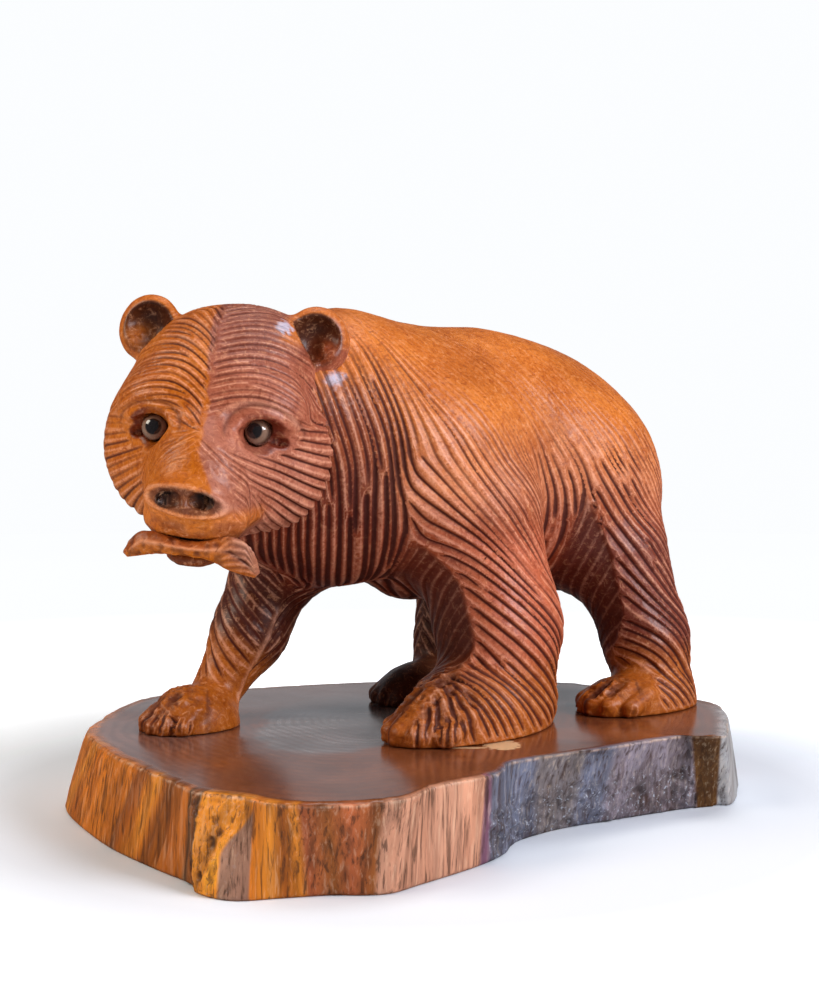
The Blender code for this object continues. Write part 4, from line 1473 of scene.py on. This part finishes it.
def eye(name, side):
    """A glass ball; its material reads the angle from the way the eye looks."""
    bm = bmesh.new()
    at = eye_place(side)
    bmesh.ops.create_uvsphere(bm, u_segments=64, v_segments=40, radius=EYE_RADIUS,
                              matrix=HEAD_MATRIX @ Matrix.Translation(at))
    obj = object_from(bm, name)
    points = get_points(obj.data)
    middle = np.array(HEAD_MATRIX @ at)
    look = np.array(HEAD_MATRIX.to_3x3() @ Vector((-0.10 * side - 0.08, -1.0, 0.14)).normalized())
    angle = np.arccos(np.clip((points - middle) @ look / EYE_RADIUS, -1.0, 1.0))
    note(obj.data, gaze=angle)
    return obj


FISH_BACK = (0.34, 0.075, 0.014)
FISH_TAIL = (0.50, 0.20, 0.115)


def salmon():
    """The fish in fine steps, with a ridge along its side and rays in its tail."""
    obj = fish("fish_carving")
    modifier = obj.modifiers.new("fine", "SUBSURF")
    modifier.levels = 3
    modifier.render_levels = 3
    bake(obj)
    points = get_points(obj.data)
    left, up, forward = head_coordinates(points)
    line = np.array(FISH_LINE)
    middle = np.interp(left, line[:, 0], line[:, 1])
    tall = np.interp(left, line[:, 0], line[:, 3])
    high = (up - middle) / tall
    front = smooth(-0.3, 0.6, forward - np.interp(left, line[:, 0], line[:, 2]))
    ridge = np.exp(-((high - 0.12) / 0.20) ** 2)
    ridge = ridge * smooth(-19.5, -16.0, left) * smooth(13.0, 8.0, left)
    tail = smooth(8.0, 12.0, left)
    crease = np.exp(-(high / 0.13) ** 2) * tail * smooth(20.8, 18.0, left)
    rays = np.sin(high * 15.0 - left * 1.6) * tail * smooth(21.0, 18.0, left)
    nicks = noise(points * np.array((1.0, 1.0, 0.6)), 1.3, 42.0) * (1.0 - tail)
    lift = (0.75 * ridge - 0.55 * crease + 0.16 * rays + 0.4 * nicks) * front
    normals = vertex_normals(obj.data)
    rough = 0.06 * noise(points, 1.6, 41.0)
    set_points(obj.data, points + normals * (lift + rough)[:, None])
    # painted shade between the tail's rays and in the nicks
    hollow = np.clip(-rays, 0.0, 1.0) * 0.5 + np.clip(-2.0 * nicks, 0.0, 1.0) * 0.6
    stain = coated(plain(GOLD, points), (
        (FISH_BACK, smooth(0.15, 0.4, high) * (1.0 - tail) * 0.8),
        (FISH_TAIL, smooth(9.0, 16.0, left) * smooth(-0.9, 0.3, high))))
    # painted shade in the tail's crease and hollows; painted highlight on the ridge and the rays
    note(obj.data, shade=np.clip(np.maximum(crease, hollow), 0.0, 1.0) * front,
         shine=np.clip(ridge + 0.7 * np.clip(rays, 0, 1) * tail, 0, 1) * front, stain=stain)
    return obj


# colour and roughness of the slab's side, by outline point; the pink stretch is the wood's colour
# together with a painted sheen
SIDE_GOLD = (0.68, 0.185, 0.004)
SIDE_HONEY = (0.86, 0.290, 0.015)
SIDE_TAN = (0.50, 0.130, 0.006)
SIDE_BROWN = (0.30, 0.085, 0.012)
SIDE_RED = (0.44, 0.105, 0.030)
# pink wood with a painted sheen over it
SIDE_PINK_SHEEN = (0.70, 0.335, 0.205)
SIDE_PLUM = (0.26, 0.120, 0.200)
SIDE_BLUE = (0.150, 0.165, 0.235)
SIDE_TAUPE = (0.205, 0.175, 0.180)
SIDE_MAUVE = (0.215, 0.178, 0.210)
SIDE_DARK = (0.150, 0.060, 0.012)
SIDE_PALE = (0.42, 0.42, 0.43)
SIDE_SHADE = (0.09, 0.040, 0.015)
SIDES = [
    (0.0, SIDE_GOLD, 0.3), (1.3, SIDE_GOLD, 0.3), (1.5, SIDE_HONEY, 0.3), (1.7, SIDE_GOLD, 0.3),
    (2.65, SIDE_GOLD, 0.4), (2.75, SIDE_BROWN, 0.9), (2.9, SIDE_TAN, 0.6), (3.2, SIDE_HONEY, 0.5),
    (3.4, SIDE_TAN, 0.6), (3.5, SIDE_BROWN, 0.9), (3.65, SIDE_TAN, 0.7), (4.3, SIDE_TAN, 0.9),
    (4.45, SIDE_SHADE, 1.3), (4.7, SIDE_BROWN, 1.3), (4.95, SIDE_SHADE, 1.2),
    (5.05, SIDE_HONEY, 1.0), (6.3, SIDE_HONEY, 1.0), (6.45, SIDE_GOLD, 0.4),
    (6.9, SIDE_HONEY, 0.6), (7.2, SIDE_TAN, 0.6), (7.5, SIDE_HONEY, 0.5), (7.65, SIDE_RED, 0.4),
    (8.1, SIDE_BROWN, 0.6), (8.4, SIDE_RED, 0.7), (8.75, SIDE_BROWN, 0.8), (8.85, SIDE_PINK_SHEEN, 0.4),
    (11.0, SIDE_PINK_SHEEN, 0.4), (11.08, SIDE_PLUM, 0.5), (11.2, SIDE_PLUM, 0.5),
    (11.3, SIDE_BLUE, 0.7), (13.6, SIDE_BLUE, 0.8), (13.8, SIDE_TAUPE, 0.8),
    (14.8, SIDE_TAUPE, 0.8), (14.95, SIDE_BLUE, 0.8), (15.3, SIDE_BLUE, 0.8),
    (15.4, SIDE_MAUVE, 1.1), (17.1, SIDE_MAUVE, 1.1), (17.2, SIDE_DARK, 0.6),
    (17.95, SIDE_DARK, 0.6), (18.05, SIDE_PALE, 0.5), (20.0, SIDE_PALE, 0.5),
    (20.8, SIDE_BROWN, 0.6), (23.0, SIDE_TAUPE, 0.9), (25.0, SIDE_BROWN, 0.7),
    (27.0, SIDE_TAN, 0.5), (29.0, SIDE_GOLD, 0.3),
]
FACET_TAN = (0.34, 0.175, 0.115)
RIM_PALE = (0.78, 0.52, 0.36)
TOP_BROWN = (0.205, 0.058, 0.018)
TOP_DARK = (0.105, 0.028, 0.014)
# a mauve laid on as a painted sheen
TOP_SHEEN_MAUVE = (0.25, 0.135, 0.115)
TOP_GREY = (0.200, 0.175, 0.175)
# a warm grey laid on as a painted reflection
TOP_REFLECTION_GREY = (0.25, 0.170, 0.165)

# where along the outline the side is barky, is chipped and has leaning streaks, 0 to 1
BARKY = ((11.2, 11.3, 17.1, 17.2, 22.0, 23.0, 24.0), (0, 1, 1, 0, 0, 1, 0))
CHIPPED = ((4.2, 4.5, 6.0, 6.3), (0, 1, 1, 0))
LEANING = ((0.0, 6.1, 6.5, 27.0, 29.0), (1, 1, 0, 0, 1))

FINE_STEPS = 30                     # between two points of the outline
SIDE_ROWS = 46
TOP_ROWS = 40
TOP_MIDDLE = np.array((8.0, -25.0))
EVENING = range(-45, 46, 3)         # steps either way that even out the outline's jogs


def at_level(flat, level=0.0):
    return np.concatenate((flat, np.full((len(flat), 1), level)), 1)


def slab_top_stain(flat):
    """Reddish brown, with a grey patch between the legs, a painted reflection greying the top
    behind them, and a painted mauve sheen at the left end.
    """
    along = LEFT_FRONT[1] * flat[:, 0] - LEFT_FRONT[0] * flat[:, 1]
    deep = LEFT_FRONT[0] * flat[:, 0] + LEFT_FRONT[1] * flat[:, 1]
    ripple = noise(np.stack((along / 3.5, deep, np.zeros(len(flat))), 1), 3.2, 63.0)
    drift = noise(at_level(flat), 13.0, 62.0)
    oval = np.hypot((along + 34.0) / 27.0, (deep + 31.0) / 56.0) + 0.10 * drift + 0.06 * ripple
    back = smooth(-8.0, 8.0, deep + 12.0 * drift) * smooth(80.0, 60.0, along + 8.0 * drift)
    # behind the legs the grey is a painted reflection
    grey = np.maximum(smooth(1.04, 0.94, oval), 0.75 * back)
    brown = plain(TOP_BROWN, flat) * (1.0 + 0.30 * drift + 0.22 * ripple)[:, None]
    brown = coated(brown, (
        (TOP_DARK, smooth(0.25, 0.6, ripple) * 0.6),
        # a painted mauve sheen towards the left end
        (TOP_SHEEN_MAUVE, smooth(-58.0, -86.0, along + 6.0 * drift) * 0.6)))
    grey_top = plain(TOP_GREY, flat) * (1.0 + 0.36 * ripple)[:, None]
    # behind the legs a warm grey is laid on as a painted reflection
    return mix(brown, paint(grey_top, TOP_REFLECTION_GREY, back * 0.7), grey)


def slab_top_row(edge, even, share):
    """A ring of the sawn top, at a share of the way from its middle to its edge."""
    shares = np.full(len(edge), share)
    ease = smooth(1.0, 0.86, shares)
    flat = TOP_MIDDLE + (mix(edge, even, ease) - TOP_MIDDLE) * max(share, 0.004)
    sag = 0.12 * noise(at_level(flat), 18.0, 61.0) * smooth(1.0, 0.9, shares) - 0.02
    none = np.zeros(len(edge))
    return (np.concatenate((flat, np.minimum(sag, 0.0)[:, None]), 1), slab_top_stain(flat),
            none, shares, none, none)


class Trunk:
    """The slab's outline round its top and its underside, the way along it and out of it."""

    def __init__(self):
        self.upper, self.lower = (self.outline(part) for part in (0, 1))
        self.count = len(self.upper)
        self.station = np.arange(self.count) / FINE_STEPS
        along = np.roll(self.upper, -1, 0) - np.roll(self.upper, 1, 0)
        self.tangent = along / np.sqrt((along ** 2).sum(1))[:, None]
        outward = np.stack((self.tangent[:, 1], -self.tangent[:, 0]), 1)
        from_middle = self.upper - self.upper.mean(0)
        self.outward = outward * np.sign((from_middle * outward).sum(1))[:, None]
        self.barky, self.chipped, self.lean = (
            np.interp(self.station, *places) for places in (BARKY, CHIPPED, LEANING))

    @staticmethod
    def outline(part):
        corners = [Vector(pair[part]) for pair in PLINTH_EDGE]
        return np.array([tuple(point) for point in catmull(corners, FINE_STEPS)])

    def stained(self, share):
        """Colour and roughness of the side, from the table."""
        seen = (self.station + 0.55 * share * self.lean) % len(PLINTH_EDGE)
        places = np.array([place for place, _, _ in SIDES])
        rough = np.interp(seen, places, [rough for _, _, rough in SIDES])
        tint = np.stack([np.interp(seen, places, [colour[i] for _, colour, _ in SIDES])
                         for i in range(3)], 1)
        return tint, rough

    def side_row(self, share):
        """Places, colour and marks of the trunk's outside, at a share of the way down, with a
        painted highlight on the rim and painted shade in the pits.
        """
        down = np.full(self.count, share)
        level = -PLINTH_THICK * share
        line = self.upper + (self.lower - self.upper) * share ** 0.8
        spots = at_level(line, level)
        slid = line + self.tangent * (12.0 * share * self.lean)[:, None]
        tall = at_level(slid, level * 0.10)
        tint, rough = self.stained(share)
        edge = 6.45 - 0.80 * smooth(0.05, 0.62, down)
        facet = smooth(-0.05, 0.05, self.station - edge) * smooth(6.48, 6.40, self.station)
        tint = paint(tint, FACET_TAN, facet)
        rough = rough * (1.0 - 0.9 * facet)
        ribs = noise(tall, 2.2, 51.0) * 0.5 + noise(tall, 5.5, 52.0) * 0.7
        fine = noise(tall, 1.1, 55.0)
        pits = noise(spots, 2.6, 53.0) * 0.6 + noise(spots, 1.1, 54.0) * 0.35
        low = smooth(0.25, 0.6, down)
        relief = rough * (ribs * 0.75 + fine * 0.18)
        relief += (self.barky * pits * (0.35 + 1.2 * low)
                   + self.chipped * (1.0 - facet) * pits * 1.5)
        ease = smooth(0.0, 0.02, down) * smooth(0.0, 0.03, 1.0 - down)
        chip = np.clip(noise(spots, 2.8, 56.0), 0.0, 1.0) * np.exp(-(down / 0.07) ** 2)
        proud = relief * ease - 0.45 * (1.0 - ease) - 0.9 * chip
        tint = tint * (1.0 + 0.38 * ribs + 0.20 * fine)[:, None]
        # a pale line along the top rim: chipped wood with a painted highlight on it
        rim = np.exp(-((down - 0.020) / 0.014) ** 2) * (0.25 + 0.75 * smooth(-0.2, 0.4, fine))
        # the last mark is painted shade in the pits
        return (at_level(line + self.outward * proud[:, None], level),
                paint(tint, RIM_PALE, rim * 0.55), np.full(self.count, 1.0 if share else 0.35),
                np.ones(self.count), self.barky * low + self.chipped * 0.15,
                np.clip(-relief * 0.9, 0.0, 1.0))


def slab():
    """The plinth in full: a flat sawn top, and the outside of the trunk all round."""
    trunk = Trunk()
    count = trunk.count
    rows = [trunk.side_row((row / SIDE_ROWS) ** 1.25) for row in range(SIDE_ROWS + 1)]
    edge = rows[0][0][:, :2]
    even = sum(np.roll(edge, shift, 0) for shift in EVENING) / len(EVENING)
    rows += [slab_top_row(edge, even, 1.0 - (row / TOP_ROWS) ** 0.9)
             for row in range(1, TOP_ROWS + 1)]
    points, stain, side, ring, bark, groove = (np.concatenate(part) for part in zip(*rows))
    order = [*range(SIDE_ROWS, -1, -1), *range(SIDE_ROWS + 1, SIDE_ROWS + 1 + TOP_ROWS)]
    faces = []
    for one, other in zip(order, order[1:]):
        for place in range(count):
            after = (place + 1) % count
            faces.append((one * count + place, one * count + after,
                          other * count + after, other * count + place))
    faces.append([order[-1] * count + place for place in range(count)])
    faces.append([SIDE_ROWS * count + place for place in range(count)][::-1])
    mesh = bpy.data.meshes.new("plinth_slab")
    mesh.from_pydata(points.tolist(), [], faces)
    with editing(mesh) as bm:
        bmesh.ops.recalc_face_normals(bm, faces=bm.faces[:])
    note(mesh, stain=stain, side=side, ring=ring, bark=bark, groove=groove)
    return new_object("plinth_slab", mesh)


# ---- stage: floor, lights and camera --------------------------------------------------------
FLOOR_RADIUS = 1.6
SURROUND_RADIUS = 4.0
FLOOR_DROP = 0.0002                     # keeps the floor clear of the plinth's underside
FLOOR_PAINT = (0.80, 0.84, 0.90)
PAPER = (0.97, 0.985, 1.0)
BLACK = (0.0, 0.0, 0.0)
CAMERA_AT = (440.0, -353.0, 101.0)      # mm, in the carver's frame
CAMERA_TURN = 52.0
CAMERA_PITCH = 2.2715
CAMERA_LENS = 54.05
LIT = (0.0, 0.0, 0.08)                  # what the lights point at
# name, place and size in metres, power in watts, colour
LIGHTS = (
    ("back", (-0.9, 0.7, 0.3), (1.4, 0.5), 0.7, (0.93, 0.94, 1.0)),
    ("window", (1.2, 0.5, 0.8), (0.7, 0.6), 22.0, (0.92, 0.93, 1.0)),
    ("key", (-0.35, -1.2, 1.0), (0.7, 0.7), 14.0, (1.0, 0.90, 0.76)),
    ("top", (0.0, 0.2, 1.7), (0.9, 0.9), 9.0, (1.0, 0.98, 0.97)),
)


def look_matrix(at, azimuth, pitch):
    """A camera at a place, turned to its azimuth and looking down by the pitch."""
    turn = math.radians(azimuth)
    drop = math.radians(pitch)
    back = Vector((math.sin(turn) * math.cos(drop), -math.cos(turn) * math.cos(drop),
                   math.sin(drop)))
    across = Vector((math.cos(turn), math.sin(turn), 0.0))
    matrix = Matrix((across, back.cross(across), back)).transposed().to_4x4()
    matrix.translation = at
    return matrix


def area_light(name, at, size, power, colour):
    light = bpy.data.lights.new(name, "AREA")
    light.shape = "RECTANGLE"
    light.size, light.size_y = size
    light.energy = power
    light.color = colour
    obj = new_object(name, light)
    obj.location = at
    obj.rotation_euler = (Vector(at) - Vector(LIT)).to_track_quat("Z", "Y").to_euler()
    obj.visible_camera = False


def set_camera():
    camera = bpy.data.cameras.new("camera")
    camera.lens = CAMERA_LENS
    camera.sensor_width = 36.0
    camera.sensor_fit = "AUTO"
    camera.clip_start = 0.02
    obj = new_object("camera", camera)
    at = (Vector(CAMERA_AT) + Vector(SHIFT)) * 0.001
    obj.matrix_world = look_matrix(at, CAMERA_TURN, CAMERA_PITCH)
    bpy.context.scene.camera = obj


def set_floor():
    """A pale floor round the carving, as bright as the surround further out."""
    bm = bmesh.new()
    bmesh.ops.create_circle(bm, cap_ends=True, segments=96, radius=FLOOR_RADIUS)
    floor = object_from(bm, "floor")
    floor.location = (0, 0, -FLOOR_DROP)
    shade = Shader("floor_paint")
    distance = shade.node("ShaderNodeVectorMath", operation="LENGTH")
    shade.link(shade.place(), distance.inputs[0])
    away = distance.outputs["Value"]
    shade.set(colour=shade.over(FLOOR_PAINT, away, 0.25, 0.6, 1.0, BLACK), roughness=0.9,
              specular=0.1, glow=PAPER, glow_strength=shade.span(away, 0.15, 0.32))
    floor.data.materials.append(shade.material)
    floor.visible_glossy = False


def set_surround():
    """An even white all round, which lights nothing."""
    bm = bmesh.new()
    bmesh.ops.create_icosphere(bm, subdivisions=4, radius=SURROUND_RADIUS)
    surround = object_from(bm, "surround")
    shade = Shader("surround_paint")
    shade.set(colour=BLACK, roughness=1.0, specular=0.0, glow=PAPER, glow_strength=1.0)
    surround.data.materials.append(shade.material)
    surround.visible_diffuse = False
    surround.visible_glossy = False
    surround.visible_shadow = False


def stage():
    set_floor()
    set_surround()
    set_camera()
    for light in LIGHTS:
        area_light(*light)
    world = bpy.data.worlds.new("studio")
    world.use_nodes = True
    back = world.node_tree.nodes["Background"]
    back.inputs["Color"].default_value = (0.93, 0.96, 1.0, 1.0)
    back.inputs["Strength"].default_value = 0.10
    bpy.context.scene.world = world
    bpy.context.scene.view_settings.view_transform = "Standard"


def main():
    wood = carved_wood("carved_wood")
    glass = eye_glass("eye_glass_dark")
    body = carved(("bear_left_side", "bear_right_side"), body_masses() + leg_masses(), cuts(),
                  plan=body_plan, relief=body_relief, stain=body_stain,
                  voxels=BODY_VOXELS, reach=BODY_REACH, faces=SIDE_FACES)
    head = carved(("bear_head",), head_masses(), cuts() + face_details(),
                  plan=head_plan, relief=head_relief, stain=head_stain,
                  voxels=HEAD_VOXELS, reach=HEAD_REACH, faces=HEAD_FACES)
    for piece in body + head:
        dress(piece, "bear", wood)
    dress(salmon(), "fish", carved_wood("fish_carved_wood"))
    dress(eye("eye_left_glass", 1.0), "eye_left", glass)
    dress(eye("eye_right_glass", -1.0), "eye_right", glass)
    dress(slab(), "plinth", slab_wood("slab_wood"))
    stage()


main()
